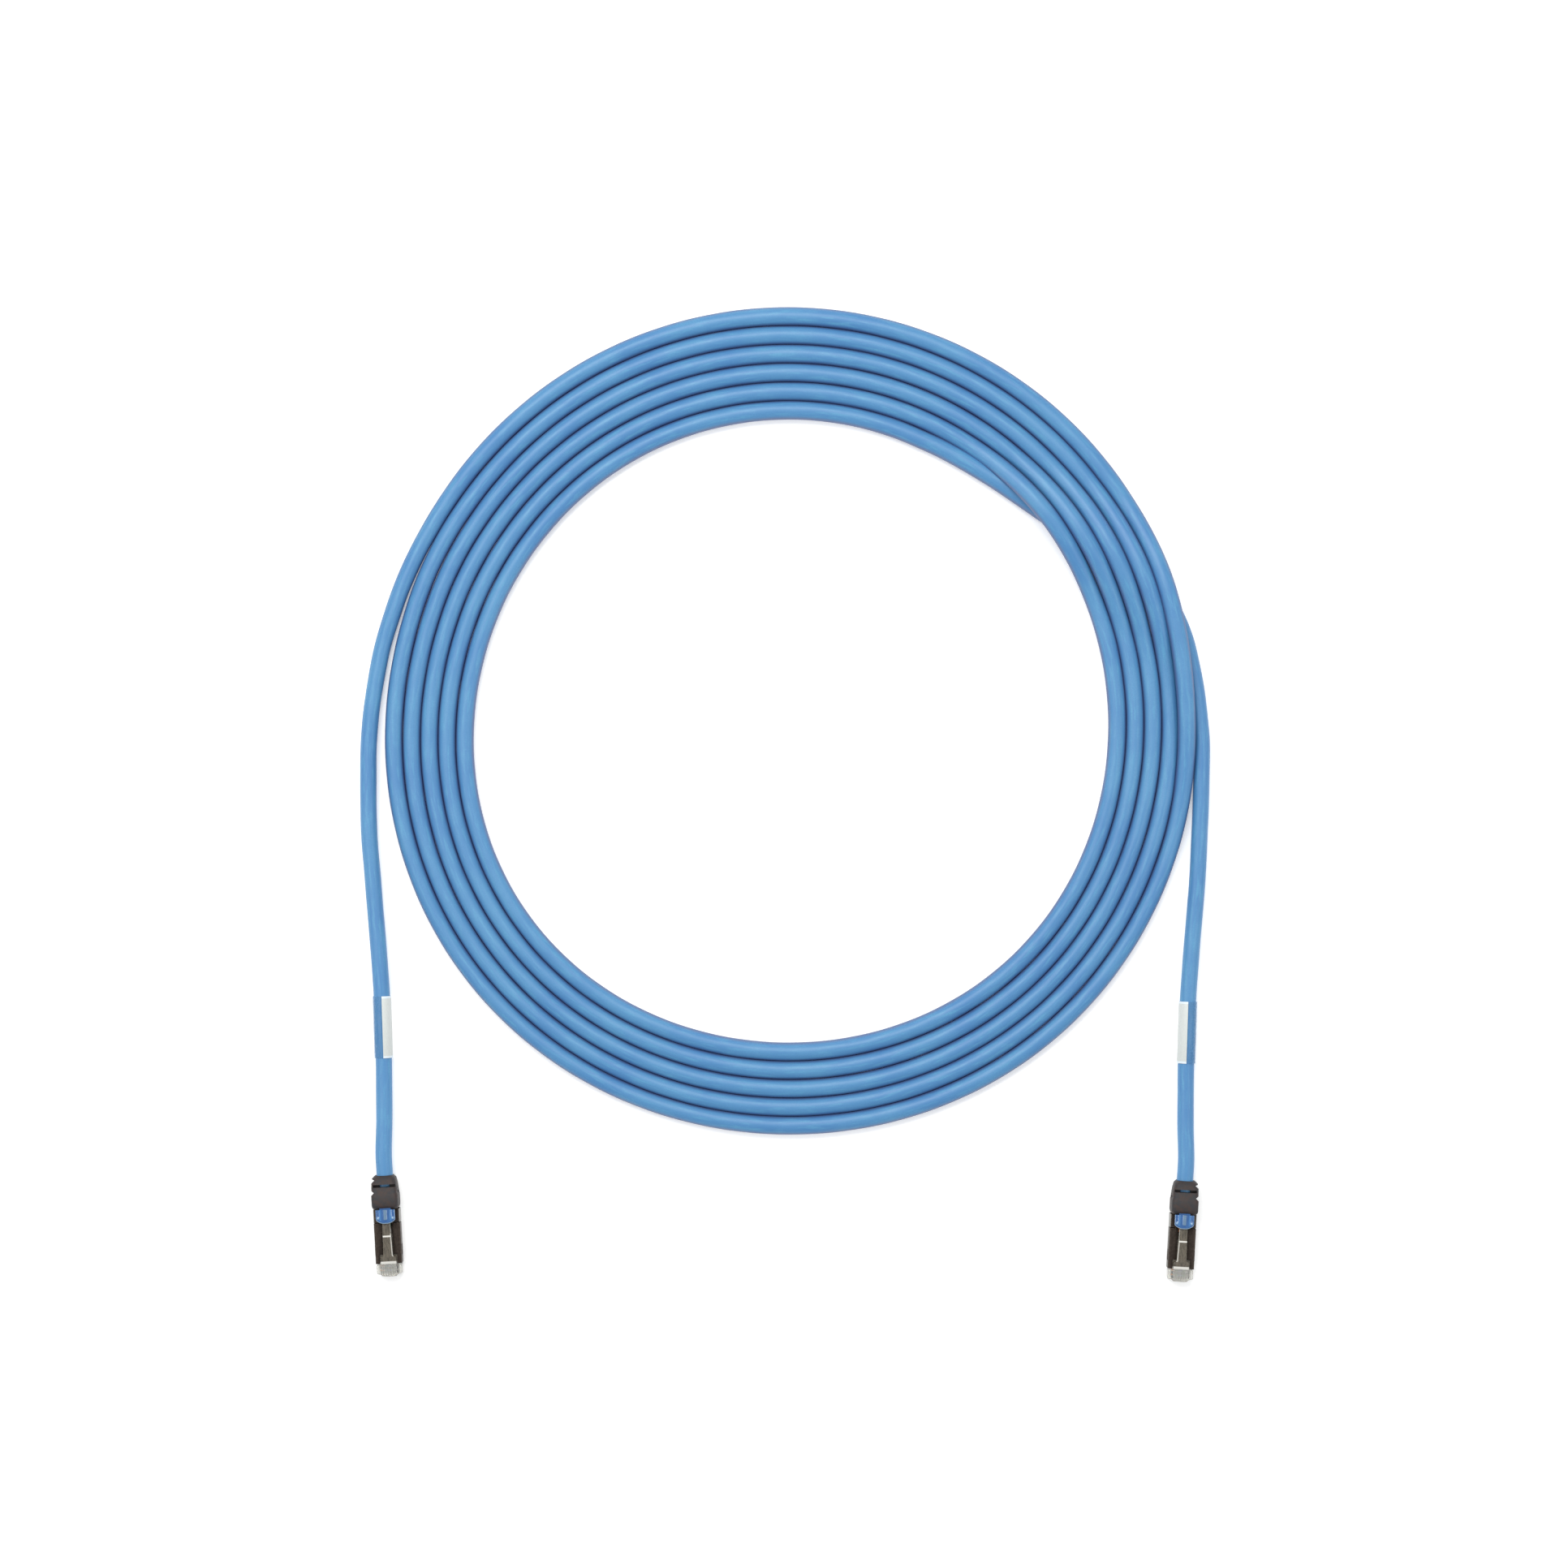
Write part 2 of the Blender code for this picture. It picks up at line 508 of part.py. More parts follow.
def boot(end, frame):
    """Strain relief: tall front block that carries the guard, slotted sleeve behind it."""
    bm = bmesh.new()
    rings = []
    for y, (half, low, high, radius) in BOOT_SECTIONS.items():
        ring = rounded_rectangle(-half * MM, half * MM, low * MM, high * MM, radius * MM, 4)
        rings.append([bm.verts.new((x, y * MM, z)) for x, z in ring])
    for a, b in zip(rings, rings[1:]):
        for i in range(len(a)):
            j = (i + 1) % len(a)
            bm.faces.new((a[i], a[j], b[j], b[i]))
    bm.faces.new(rings[0])
    bm.faces.new(rings[-1])
    body = mesh_object(end + "_boot", bm, BOOT, frame)
    front = cylinder_y(end + "_boot_front_bore", BOOT_BORE_FRONT, BOOT_START - 1 * MM,
                       BOOT_BORE_STEP, CABLE_HEIGHT, frame=frame)
    rear = cylinder_y(end + "_boot_rear_bore", BOOT_BORE_REAR, BOOT_BORE_STEP - 1 * MM,
                      BOOT_END + 1 * MM, CABLE_HEIGHT, frame=frame)
    reach = GUARD_BARREL_RADIUS + GAP
    pocket_half = GUARD_ARM_HALF_WIDTH + GAP
    pocket = box(end + "_guard_pocket", (-pocket_half, BOOT_START - 1 * MM, POCKET_FLOOR),
                 (pocket_half, GUARD_PIVOT[0] + reach, GUARD_PIVOT[1] + reach),
                 frame=frame, cutter=True)
    cuts = [front, rear, pocket]
    mouth = 6.0 * MM
    for i, (start, stop, (point, depth)) in enumerate(SIDE_NOTCHES):
        for side, name in ((-1, "left"), (1, "right")):
            notch = [(side * mouth, start), (side * depth, point), (side * mouth, stop)]
            cuts.append(extrusion(f"{end}_side_notch_{name}_{i + 1}", [notch], "XY", -1 * MM,
                                  15 * MM, frame=frame, cutter=True))
    start, stop = CROSS_SLOT - SLOT_HALF_LENGTH, CROSS_SLOT + SLOT_HALF_LENGTH
    for name, low, high in (("roof", CABLE_HEIGHT + 3.2 * MM, 15 * MM),
                            ("floor", -1 * MM, CABLE_HEIGHT - 3.2 * MM)):
        cuts.append(box(f"{end}_{name}_slot", (-SLOT_HALF_WIDTH, start, low),
                        (SLOT_HALF_WIDTH, stop, high), frame=frame, cutter=True))
    for cutter in cuts:
        combine(body, cutter, "DIFFERENCE")


def turned_sleeve(name, profile, mat, frame, steps=24):
    """A closed profile of (radius, place along the cable), turned about the cable's axis."""
    bm = bmesh.new()
    verts = [bm.verts.new((r, 0, -y)) for r, y in profile]
    for a, b in zip(verts, verts[1:] + verts[:1]):
        bm.edges.new((a, b))
    mesh = bpy.data.meshes.new(name)
    bm.to_mesh(mesh)
    bm.free()
    obj = new_object(name, mesh, mat, frame)
    obj.location = (0, 0, CABLE_HEIGHT)
    obj.rotation_euler = (math.radians(90), 0, 0)
    screw = obj.modifiers.new("turn", "SCREW")
    screw.steps = screw.render_steps = steps
    screw.use_merge_vertices = True
    screw.merge_threshold = 0.00005
    return obj


def ring_profile(inner, outer, start, end):
    return [(outer, start), (outer, end), (inner, end), (inner, start)]


def cable_end(end, frame):
    """The stripped end of the cable in the boot, with its braid and the crimp sleeve round it."""
    core = 0.4 * MM                # the cable's hollow core, between the twisted pairs
    stripped_to = CRIMP_END + 0.3 * MM
    jacket = [(STRIPPED_RADIUS, JACKET_START), (STRIPPED_RADIUS, stripped_to),
              (JACKET_RADIUS, stripped_to + 0.4 * MM), (JACKET_RADIUS, BOOT_END),
              (core, BOOT_END), (core, JACKET_START)]
    turned_sleeve(end + "_jacket_end", jacket, JACKET, frame)
    turned_sleeve(end + "_braid", ring_profile(BRAID_INNER, BRAID_OUTER, JACKET_START, CRIMP_END),
                  BRIGHT, frame)
    turned_sleeve(end + "_crimp_sleeve",
                  ring_profile(CRIMP_INNER, CRIMP_OUTER, JACKET_START, CRIMP_END), BRIGHT, frame)


def label(end, side, shift):
    """Wrap-around marker: a white panel on the side facing the other tail, clear film beyond."""
    frame = bpy.data.objects.new(end + "_label_frame", None)
    parts.objects.link(frame)
    frame.location = (-side * LABEL_CENTRE.x, LABEL_CENTRE.y + shift, LABEL_CENTRE.z)
    frame.rotation_euler = (0, 0, -side * LABEL_LEAN)
    spans = {
        "label_panel": (LABEL_SEAM_BOTTOM, LABEL_SEAM_TOP, PANEL),
        "label_film": (LABEL_SEAM_TOP + LABEL_SEAM_GAP,
                       LABEL_SEAM_BOTTOM - LABEL_SEAM_GAP + 2 * math.pi, FILM),
    }
    for name, (start, stop, mat) in spans.items():
        if side > 0:
            start, stop = math.pi - stop, math.pi - start
        outline = arc(LABEL_OUTER, start, stop, 14) + arc(LABEL_INNER, stop, start, 14)
        extrusion(f"{end}_{name}", [outline], "XZ", -LABEL_LENGTH / 2, LABEL_LENGTH / 2, mat,
                  frame)


def connector(end, side):
    """Everything at one end of the cable: plug, latch, guard, boot and label."""
    shift = -side * END_SHIFT
    frame = bpy.data.objects.new(end + "_plug_frame", None)
    parts.objects.link(frame)
    frame.location = (side * NOSE_X, NOSE_Y + shift, 0)
    frame.rotation_euler = (0, 0, -side * PLUG_LEAN)
    housing(end, frame)
    contacts_and_wires(end, frame)
    wire_guide(end, frame)
    shielding(end, frame)
    latch(end, frame)
    latch_guard(end, frame)
    cable_end(end, frame)
    boot(end, frame)
    label(end, side, shift)


coil()
tail("left_tail", -1, LEFT_TAIL_END)
tail("right_tail", 1, RIGHT_TAIL_END)
connector("left", -1)
connector("right", 1)
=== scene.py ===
"""Ethernet patch cable: its looks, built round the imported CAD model.

The cable is one continuous tube that stands for the CAD's coil and tails. The pieces of the two
plugs are made by the same functions, in a frame of the plug's own in millimetres: the origin is
on the floor under the tip of the nose, +Y runs back along the plug to the cable, +X across it.
"""
import json
import math

import bmesh
import bpy
import numpy as np
from mathutils import Matrix, Vector


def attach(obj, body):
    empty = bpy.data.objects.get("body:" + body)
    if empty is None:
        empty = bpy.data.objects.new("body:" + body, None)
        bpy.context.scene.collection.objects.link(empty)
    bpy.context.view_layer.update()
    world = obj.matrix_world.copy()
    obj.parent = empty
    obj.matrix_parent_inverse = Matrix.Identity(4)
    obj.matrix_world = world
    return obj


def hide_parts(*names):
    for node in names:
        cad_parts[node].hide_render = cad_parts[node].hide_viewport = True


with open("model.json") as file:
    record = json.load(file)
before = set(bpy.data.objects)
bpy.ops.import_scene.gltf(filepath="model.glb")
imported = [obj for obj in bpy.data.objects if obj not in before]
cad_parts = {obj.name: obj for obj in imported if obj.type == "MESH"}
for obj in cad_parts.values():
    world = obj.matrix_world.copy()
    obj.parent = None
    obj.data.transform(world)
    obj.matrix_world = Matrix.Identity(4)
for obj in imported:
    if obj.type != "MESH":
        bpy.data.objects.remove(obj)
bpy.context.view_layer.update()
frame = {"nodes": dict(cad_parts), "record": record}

MM = 0.001
scene = bpy.context.scene

# Camera and studio
CAMERA_HEIGHT = 1800.0             # mm above the floor, looking straight down
VIEW_CENTRE = (-0.4, 157.2)
VIEW_WIDTH = 695.5                 # what the picture takes in at the height of the cable's axis
SENSOR = 36.0

# Cable
JACKET_RADIUS = 3.66
COIL_JACKET_RADIUS = 4.0           # sets how high the turns lie, and how high they cross over
STRIPPED_RADIUS = 3.15
COIL_X, COIL_Y = 1.03, 182.25
COIL_START_RADIUS = 183.06         # of the outermost turn, at the coil's left side
TURN_PITCH = 8.06
# How far the turns are from round, and in which direction: as an oval, with three lobes, four
OVAL, OVAL_AT = 0.78, 53.5
LOBES, LOBES_AT = 0.71, -36.7
CORNERS, CORNERS_AT = 0.36, 40.4
# The turns are further apart at the coil's top and bottom, and most of all at its top
SPREAD, SPREAD_AT, SPREAD_TOP, MIDDLE_TURN = 0.19, 6.0, 0.07, 2.75
# Slight waves along the turns, as how far they reach and how often they come in a turn
WAVES = [(0.02, 2.3), (0.015, 5.3)]
COIL_FIRST, COIL_LAST, COIL_STEP = 15, 1915, 5     # degrees wound, clockwise from the left side
# The tube: its facets, the distance between its rings, the lay of the pairs inside it and how
# much they show, and over what length from the tail it swells to touch the next turn
TUBE_SIDES, TUBE_SPACING = 28, 2.2
PAIRS, TWIST, RELIEF = 4, 95.0, 0.02
SWELL_LENGTH, PLAIN_END = 120.0, 20.0

# Plugs, boots and tails, as in the CAD
CABLE_HEIGHT = 5.0
JACKET_START, STRIPPED_LENGTH = 30.6, 5.6
TAIL_LENGTH = 225.0                # as far as this from its ends the cable isn't in the coil
BOOT_START, BOOT_END = 30.2, 44.8
END_SHIFT = 1.2
TAIL_ROUTE = [
    (177.6, 6.0, 4.6), (177.7, 20.0, 4.2), (177.85, 34.0, 4.15), (178.3, 48.3, 4.15),
    (178.75, 62.6, 4.15), (179.6, 75.0, 4.0), (180.7, 89.0, 3.8), (181.9, 103.0, 3.7),
    (183.0, 117.0, 3.65),
]
LEFT_TAIL_END = [
    (184.2, 131.0, 3.65), (184.7, 146.0, 3.65), (184.75, 160.0, 3.6), (184.6, 173.0, 3.6),
    (183.5, 187.3, 3.6), (181.4, 201.7, 3.6), (178.6, 216.1, 3.6),
]
RIGHT_TAIL_END = [(183.9, 136.0, 3.65), (184.5, 151.2, 3.6)]

# Where the innermost turn dives under the others to the right tail, as (angle, radius)
DIVE = [
    (60, 141.4), (52, 142.9), (45, 145.4), (38, 149.8), (33, 155.0), (29, 161.5), (25, 168.5),
    (21, 174.6), (17, 178.6), (13, 180.6), (9, 181.4), (5, 182.2), (0.5, 183.2), (-3, 184.1),
]
# Angle at which each turn crosses over it, outermost turn first, and how the outermost one,
# which lies along it for a while, comes down again, as (angle, height)
CROSSINGS = (19.0, 22.9, 27.7, 32.7, 39.5)
OUTER_RAMP = [(19, 7.8), (16, 7.7), (13, 7.4), (9, 6.8), (5, 6.1), (0.5, 5.1), (-3, 4.0),
              (-7, 2.0), (-11, 0.6), (-15, 0)]
HUMP_REACH = 52.0                  # along a turn, from its crossing to where it lies flat again
DENT, DENT_AT, DENT_REACH = 1.3, 6.0, 22.0         # the outermost turn is pushed in beside it
BULGE, BULGE_AT, BULGE_REACH = 1.05, 168.0, 22.0   # and stands off where it comes into the coil
LEAN, LEAN_AT, LEAN_REACH = 0.35, 155.0, 14.0      # where the next turns lean out after it
CLOSER, CLOSER_AT, CLOSER_REACH = 0.16, 28.0, 40.0  # squeezed where they cross over the last one


# ---------------------------------------------------------------- camera

def make_camera():
    """The photo's view, squarely down on the cable."""
    data = bpy.data.cameras.new("camera")
    data.sensor_width = SENSOR
    data.lens = SENSOR * (CAMERA_HEIGHT - JACKET_RADIUS) / VIEW_WIDTH
    data.clip_start, data.clip_end = 0.05, 20.0
    camera = bpy.data.objects.new("camera", data)
    camera.location = (VIEW_CENTRE[0] * MM, VIEW_CENTRE[1] * MM, CAMERA_HEIGHT * MM)
    scene.collection.objects.link(camera)
    scene.camera = camera


make_camera()


# ---------------------------------------------------------------- node materials

class Nodes:
    """A small helper to write node materials: every call adds a node and links its inputs."""

    def __init__(self, name):
        self.material = bpy.data.materials.new(name)
        self.material.use_nodes = True
        self.tree = self.material.node_tree
        self.shader = self.tree.nodes["Principled BSDF"]
        self.shader.inputs["IOR"].default_value = 1.5

    def add(self, kind, values=None, **settings):
        """A new node with its settings, and its inputs fed."""
        node = self.tree.nodes.new(kind)
        for key, value in settings.items():
            setattr(node, key, value)
        for key, value in (values or {}).items():
            self.feed(node.inputs[key], value)
        return node

    def feed(self, socket, value):
        """Link a socket to another one, or give it a value."""
        if isinstance(value, bpy.types.NodeSocket):
            self.tree.links.new(value, socket)
        elif isinstance(value, (tuple, list)) and len(value) == 3 and socket.type == "RGBA":
            socket.default_value = (*value, 1.0)
        else:
            socket.default_value = value

    def set(self, **values):
        """Feed the shader's inputs. A name has _ here where the input's has a space."""
        for key, value in values.items():
            self.feed(self.shader.inputs[key.replace("_", " ")], value)

    def place(self):
        """The place in the piece's own frame, in metres."""
        return self.add("ShaderNodeTexCoord").outputs["Object"]

    def millimetres(self):
        """The place in the piece's own frame, in mm."""
        return self.stretched(self.place(), (1 / MM, 1 / MM, 1 / MM))

    def stretched(self, vector, scale):
        return self.add("ShaderNodeMapping", {"Vector": vector, "Scale": scale}).outputs[0]

    def noise(self, vector, scale, detail=2.0, rough=0.5):
        return self.add("ShaderNodeTexNoise", {"Vector": vector, "Scale": scale,
                                               "Detail": detail, "Roughness": rough}).outputs[0]

    def ramp(self, value, low, high, to_low=0.0, to_high=1.0):
        """A value's place between low and high, as one between to_low and to_high."""
        return self.add("ShaderNodeMapRange", {"Value": value, "From Min": low, "From Max": high,
                                               "To Min": to_low, "To Max": to_high}).outputs[0]

    def math(self, operation, a, b=0.0):
        return self.add("ShaderNodeMath", {0: a, 1: b}, operation=operation).outputs[0]

    def mix(self, share, a, b):
        node = self.add("ShaderNodeMix", data_type="RGBA", blend_type="MIX")
        self.feed(node.inputs[0], share)
        self.feed(node.inputs[6], a)
        self.feed(node.inputs[7], b)
        return node.outputs[2]

    def bump(self, height, distance, strength=1.0, normal=None):
        values = {"Height": height, "Distance": distance, "Strength": strength}
        if normal is not None:
            values["Normal"] = normal
        return self.add("ShaderNodeBump", values).outputs[0]


def jacket_material():
    """Satin blue PVC: faint streaks along the extrusion, scuffs, a fine orange peel, and painted
    shade, darker and more violet, low on the turns where they lie pressed together."""
    n = Nodes("jacket_blue")
    lay = n.add("ShaderNodeAttribute", attribute_name="lay").outputs["Vector"]
    up = n.add("ShaderNodeSeparateXYZ", {"Vector": lay}).outputs["Z"]
    pressed = n.add("ShaderNodeAttribute", attribute_name="pressed").outputs["Fac"]
    place = n.place()
    streaks = n.noise(n.stretched(lay, (9.0, 3.2, 3.2)), 1.0, 3.0, 0.6)
    patches = n.noise(place, 34.0, 3.0, 0.55)
    grain = n.noise(place, 1500.0, 2.0, 0.6)
    scuffs = n.noise(n.stretched(lay, (60.0, 9.0, 9.0)), 1.0, 4.0, 0.7)
    base = n.mix(n.ramp(patches, 0.35, 0.68), (0.058, 0.212, 0.462), (0.082, 0.268, 0.500))
    base = n.mix(n.ramp(streaks, 0.50, 0.70, 0.0, 0.75), base, (0.098, 0.33, 0.54))
    base = n.mix(n.ramp(grain, 0.3, 0.72, 0.0, 0.35), base, (0.056, 0.195, 0.44))
    base = n.mix(n.ramp(scuffs, 0.64, 0.76, 0.0, 0.35), base, (0.19, 0.39, 0.56))
    # painted shade: darker and more violet on the sides and underside of turns pressed together,
    # where shade falls between them
    painted_crevice_shade = n.math("MULTIPLY", pressed, n.ramp(up, 0.74, 0.38, 0.0, 0.85))
    base = n.mix(painted_crevice_shade, base, (0.060, 0.090, 0.23))
    rough = n.ramp(scuffs, 0.3, 0.8, 0.44, 0.56)
    fine = n.bump(grain, 0.00004, 0.35)
    n.set(Base_Color=base, Roughness=rough, Normal=n.bump(streaks, 0.00012, 0.2, fine),
          Specular_IOR_Level=0.6, Coat_Weight=0.1, Coat_Roughness=0.4)
    return n.material


def floor_material():
    """A pale light table, all but white, with the slightest unevenness."""
    n = Nodes("pale_floor")
    tone = n.noise(n.place(), 3.0, 2.0)
    n.set(Base_Color=n.mix(tone, (0.90, 0.90, 0.905), (0.93, 0.93, 0.93)), Roughness=0.85,
          Specular_IOR_Level=0.1, Emission_Color=(1.0, 1.0, 1.0), Emission_Strength=0.3)
    return n.material


# ---------------------------------------------------------------- the cable

def ease(t):
    """From 1 at t = 0 smoothly to 0 at t = 1 and beyond."""
    return 0.5 * (1 + math.cos(math.pi * min(abs(t), 1.0)))


def ramp_height(angle):
    """Height of the outermost turn over the cable that it lies on, on its way down."""
    for (a, high), (b, low) in zip(OUTER_RAMP, OUTER_RAMP[1:]):
        if b <= angle <= a:
            return low + (high - low) * (angle - b) / (a - b)
    return 0.0


def pitch_at(angle):
    """How far apart neighbouring turns are at an angle on the coil."""
    return (TURN_PITCH - SPREAD * math.cos(2 * math.radians(angle - SPREAD_AT))
            + SPREAD_TOP * math.sin(math.radians(angle)))


def coil_point(wound):
    """A point on the coil's spiral, after winding this many degrees clockwise from its left."""
    lap, angle = divmod(wound, 360)
    angle = 180 - angle
    radius = COIL_START_RADIUS - TURN_PITCH * wound / 360
    radius += OVAL * math.cos(2 * math.radians(angle - OVAL_AT))
    radius += LOBES * math.cos(3 * math.radians(angle - LOBES_AT))
    radius += CORNERS * math.cos(4 * math.radians(angle - CORNERS_AT))
    radius += (wound / 360 - MIDDLE_TURN) * (TURN_PITCH - pitch_at(angle))
    for reach, pace in WAVES:
        radius += reach * math.sin(math.radians(pace * wound))
    lift = 0.0
    if lap == 0:
        radius -= DENT * ease((angle - DENT_AT) / DENT_REACH)
        radius += BULGE * ease((angle - BULGE_AT) / BULGE_REACH)
    else:
        radius += LEAN * 0.7 ** (lap - 1) * ease((angle - LEAN_AT) / LEAN_REACH)
    if lap == 0 and angle < CROSSINGS[0]:
        lift = ramp_height(angle)
    elif lap < len(CROSSINGS):
        away = math.radians(angle - CROSSINGS[int(lap)]) * radius
        lift = 2 * COIL_JACKET_RADIUS * ease(away / HUMP_REACH)
    return around_coil(angle, radius, COIL_JACKET_RADIUS + lift)


def around_coil(angle, radius, height):
    """A point in mm, at an angle and a radius from the middle of the coil."""
    a = math.radians(angle)
    return Vector((COIL_X + radius * math.cos(a), COIL_Y + radius * math.sin(a), height))


def plug_place(end):
    """The matrix of a plug's own frame, from the mount on its front: mm in, metres out."""
    mount = next(m for m in frame["record"]["mounts"] if m["name"] == end + "_plug_front")
    back = -Vector(mount["axis"])
    across = back.cross(Vector((0, 0, 1)))
    place = Matrix((across, back, (0, 0, 1))).transposed().to_4x4()
    place.translation = (mount["pos_m"][0], mount["pos_m"][1], 0)
    return place @ Matrix.Scale(MM, 4)


ENDS = {"left": -1, "right": 1}
PLACE = {end: plug_place(end) for end in ENDS}


def boot_points(end):
    """The cable's straight run inside a boot, from its stripped end outwards, in mm."""
    along = (JACKET_START, 38.0, BOOT_END + 0.3, BOOT_END + 10.0)
    return [PLACE[end] @ Vector((0, y, CABLE_HEIGHT)) / MM for y in along]


def tail_points(end, last_points):
    """A tail's points from its boot to the coil. The right plug lies further down than the left."""
    side, shift = ENDS[end], -ENDS[end] * END_SHIFT
    return [Vector((side * x, y + shift, z)) for x, y, z in TAIL_ROUTE + last_points]


def cable_route():
    """All the points of the cable, from the left plug's boot to the right one's."""
    route = boot_points("left") + tail_points("left", LEFT_TAIL_END)
    route += [coil_point(w) for w in range(COIL_FIRST, COIL_LAST + 1, COIL_STEP)]
    route += [around_coil(angle, radius, COIL_JACKET_RADIUS) for angle, radius in DIVE]
    return route + (boot_points("right") + tail_points("right", RIGHT_TAIL_END))[::-1]


def smooth_line(points, steps):
    """Points on a smooth curve through all the given ones."""
    ends = [points[0] * 2 - points[1]] + points + [points[-1] * 2 - points[-2]]
    fine = []
    for a, b, c, d in zip(ends, ends[1:], ends[2:], ends[3:]):
        for i in range(steps):
            t = i / steps
            fine.append(0.5 * (2 * b + (c - a) * t + (2 * a - 5 * b + 4 * c - d) * t ** 2
                               + (3 * b - a - 3 * c + d) * t ** 3))
    return fine + [points[-1]]


def spread(points, spacing):
    """The same line with its points the same distance apart."""
    line = np.array(points)
    run = np.concatenate([[0], np.cumsum(np.linalg.norm(np.diff(line, axis=0), axis=1))])
    even = np.linspace(0, run[-1], round(run[-1] / spacing) + 1)
    return np.stack([np.interp(even, run, line[:, k]) for k in range(3)], axis=1), even


def cable_radii(line, end_reach):
    """The jacket's radius at each ring, and how far each is pressed to its neighbours, 0 to 1."""
    angles = np.degrees(np.arctan2(line[:, 1] - COIL_Y, line[:, 0] - COIL_X))
    touching = np.array([pitch_at(angle) / 2 + 2 * RELIEF
                         + CLOSER * ease((angle - CLOSER_AT) / CLOSER_REACH) for angle in angles])
    pressed = np.interp(end_reach, (TAIL_LENGTH, TAIL_LENGTH + SWELL_LENGTH), (0, 1))
    radius = JACKET_RADIUS + (touching - JACKET_RADIUS) * pressed
    radius[end_reach < STRIPPED_LENGTH] = STRIPPED_RADIUS
    return radius, pressed


def tube_mesh(name, line, radial):
    """A closed tube round a line, with its own radius at every point of every ring."""
    rings, sides = radial.shape
    forward = np.gradient(line, axis=0)
    forward /= np.linalg.norm(forward, axis=1)[:, None]
    side = np.cross(forward, (0, 0, 1))
    side /= np.linalg.norm(side, axis=1)[:, None]
    up = np.cross(side, forward)
    turn = np.linspace(0, 2 * math.pi, sides, endpoint=False)
    offset = (np.cos(turn)[None, :, None] * side[:, None, :]
              + np.sin(turn)[None, :, None] * up[:, None, :])
    verts = (line[:, None, :] + radial[:, :, None] * offset).reshape(-1, 3) * MM
    faces = [(r * sides + k, r * sides + (k + 1) % sides, (r + 1) * sides + (k + 1) % sides,
              (r + 1) * sides + k) for r in range(rings - 1) for k in range(sides)]
    faces.append(tuple(range(sides))[::-1])
    faces.append(tuple(range((rings - 1) * sides, rings * sides)))
    mesh = bpy.data.meshes.new(name)
    mesh.from_pydata(verts.tolist(), [], faces)
    mesh.shade_smooth()
    mesh.set_sharp_from_angle(angle=math.radians(50))
    return mesh


def make_cable(material):
    """One tube from boot to boot. The four twisted pairs inside show as a slight slow twist."""
    line, run = spread(smooth_line(cable_route(), 8), TUBE_SPACING)
    length = run[-1]
    end_reach = np.minimum(run, length - run)
    radius, pressed = cable_radii(line, end_reach)
    line[:, 2] = np.maximum(line[:, 2], radius)
    turn = np.linspace(0, 2 * math.pi, TUBE_SIDES, endpoint=False)
    pairs = np.cos(PAIRS * (turn[None, :] + 2 * math.pi * run[:, None] / TWIST))
    radial = radius[:, None] + RELIEF * (pairs - 1) * (end_reach > PLAIN_END)[:, None]
    mesh = tube_mesh("cable", line, radial)
    lay = np.stack([np.repeat(run / 100, TUBE_SIDES), np.tile(np.cos(turn), len(line)),
                    np.tile(np.sin(turn), len(line))], axis=1)
    attribute = mesh.attributes.new("lay", "FLOAT_VECTOR", "POINT")
    attribute.data.foreach_set("vector", lay.astype(np.float32).ravel())
    attribute = mesh.attributes.new("pressed", "FLOAT", "POINT")
    attribute.data.foreach_set("value", np.repeat(pressed, TUBE_SIDES).astype(np.float32))
    mesh.materials.append(material)
    cable = bpy.data.objects.new("cable_jacket", mesh)
    scene.collection.objects.link(cable)
    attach(cable, "cable")
    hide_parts("cord_coil", "left_tail", "right_tail", "left_jacket_end",
                "right_jacket_end")
    return cable, (line * MM).tolist(), round(length * MM, 3)


cable, cable_path, cable_length = make_cable(jacket_material())


# ---------------------------------------------------------------- materials of the plugs

def clear_material(name, highlight_bands=()):
    """Clear moulded polycarbonate with faint flow lines, smoky where it is thick, behind the nose.
    Between the given places along the plug, and along its marked edge, it is frosted and painted
    paler: painted highlights."""
    n = Nodes(name)
    place = n.millimetres()
    flow = n.noise(n.stretched(place, (1.6, 0.35, 1.6)), 1.0, 3.0, 0.6)
    fine = n.noise(place, 7.0, 3.0, 0.6)
    along = n.add("ShaderNodeSeparateXYZ", {"Vector": place}).outputs["Y"]
    matt = n.ramp(fine, 0.5, 0.8, 0.0, 0.08)
    for start, stop in highlight_bands:
        inside = n.math("MULTIPLY", n.ramp(along, start - 0.1, start + 0.1),
                        n.ramp(along, stop + 0.1, stop - 0.1))
        matt = n.math("MAXIMUM", matt, inside)
    rim = n.add("ShaderNodeAttribute", attribute_name="rim").outputs["Fac"]
    rim = n.math("MULTIPLY", n.ramp(rim, 0.87, 0.95), n.ramp(fine, 0.3, 0.6, 0.4, 0.8))
    matt = n.math("MAXIMUM", matt, rim)
    base = n.mix(n.ramp(flow, 0.35, 0.7), (0.97, 0.965, 0.93), (0.90, 0.895, 0.85))
    smoky = n.mix(n.ramp(flow, 0.40, 0.64), (0.29, 0.25, 0.195), (0.16, 0.14, 0.11))
    base = n.mix(n.ramp(along, SHELL_FRONT, SHELL_FRONT + 1.2), base, smoky)
    clear = n.ramp(along, SHELL_FRONT, SHELL_FRONT + 1.2, 0.80, 0.55)
    # the frosted places are painted pale: on the latch's ledge, cross bar and inner edge these are
    # painted highlights
    n.set(Base_Color=n.mix(matt, base, (0.80, 0.78, 0.73)),
          Transmission_Weight=n.math("MULTIPLY", clear, n.ramp(matt, 0.0, 1.0, 1.0, 0.12)),
          Roughness=n.ramp(matt, 0.0, 1.0, 0.07, 0.45), IOR=1.5,
          Normal=n.bump(flow, 0.00012, 0.35))
    return n.material


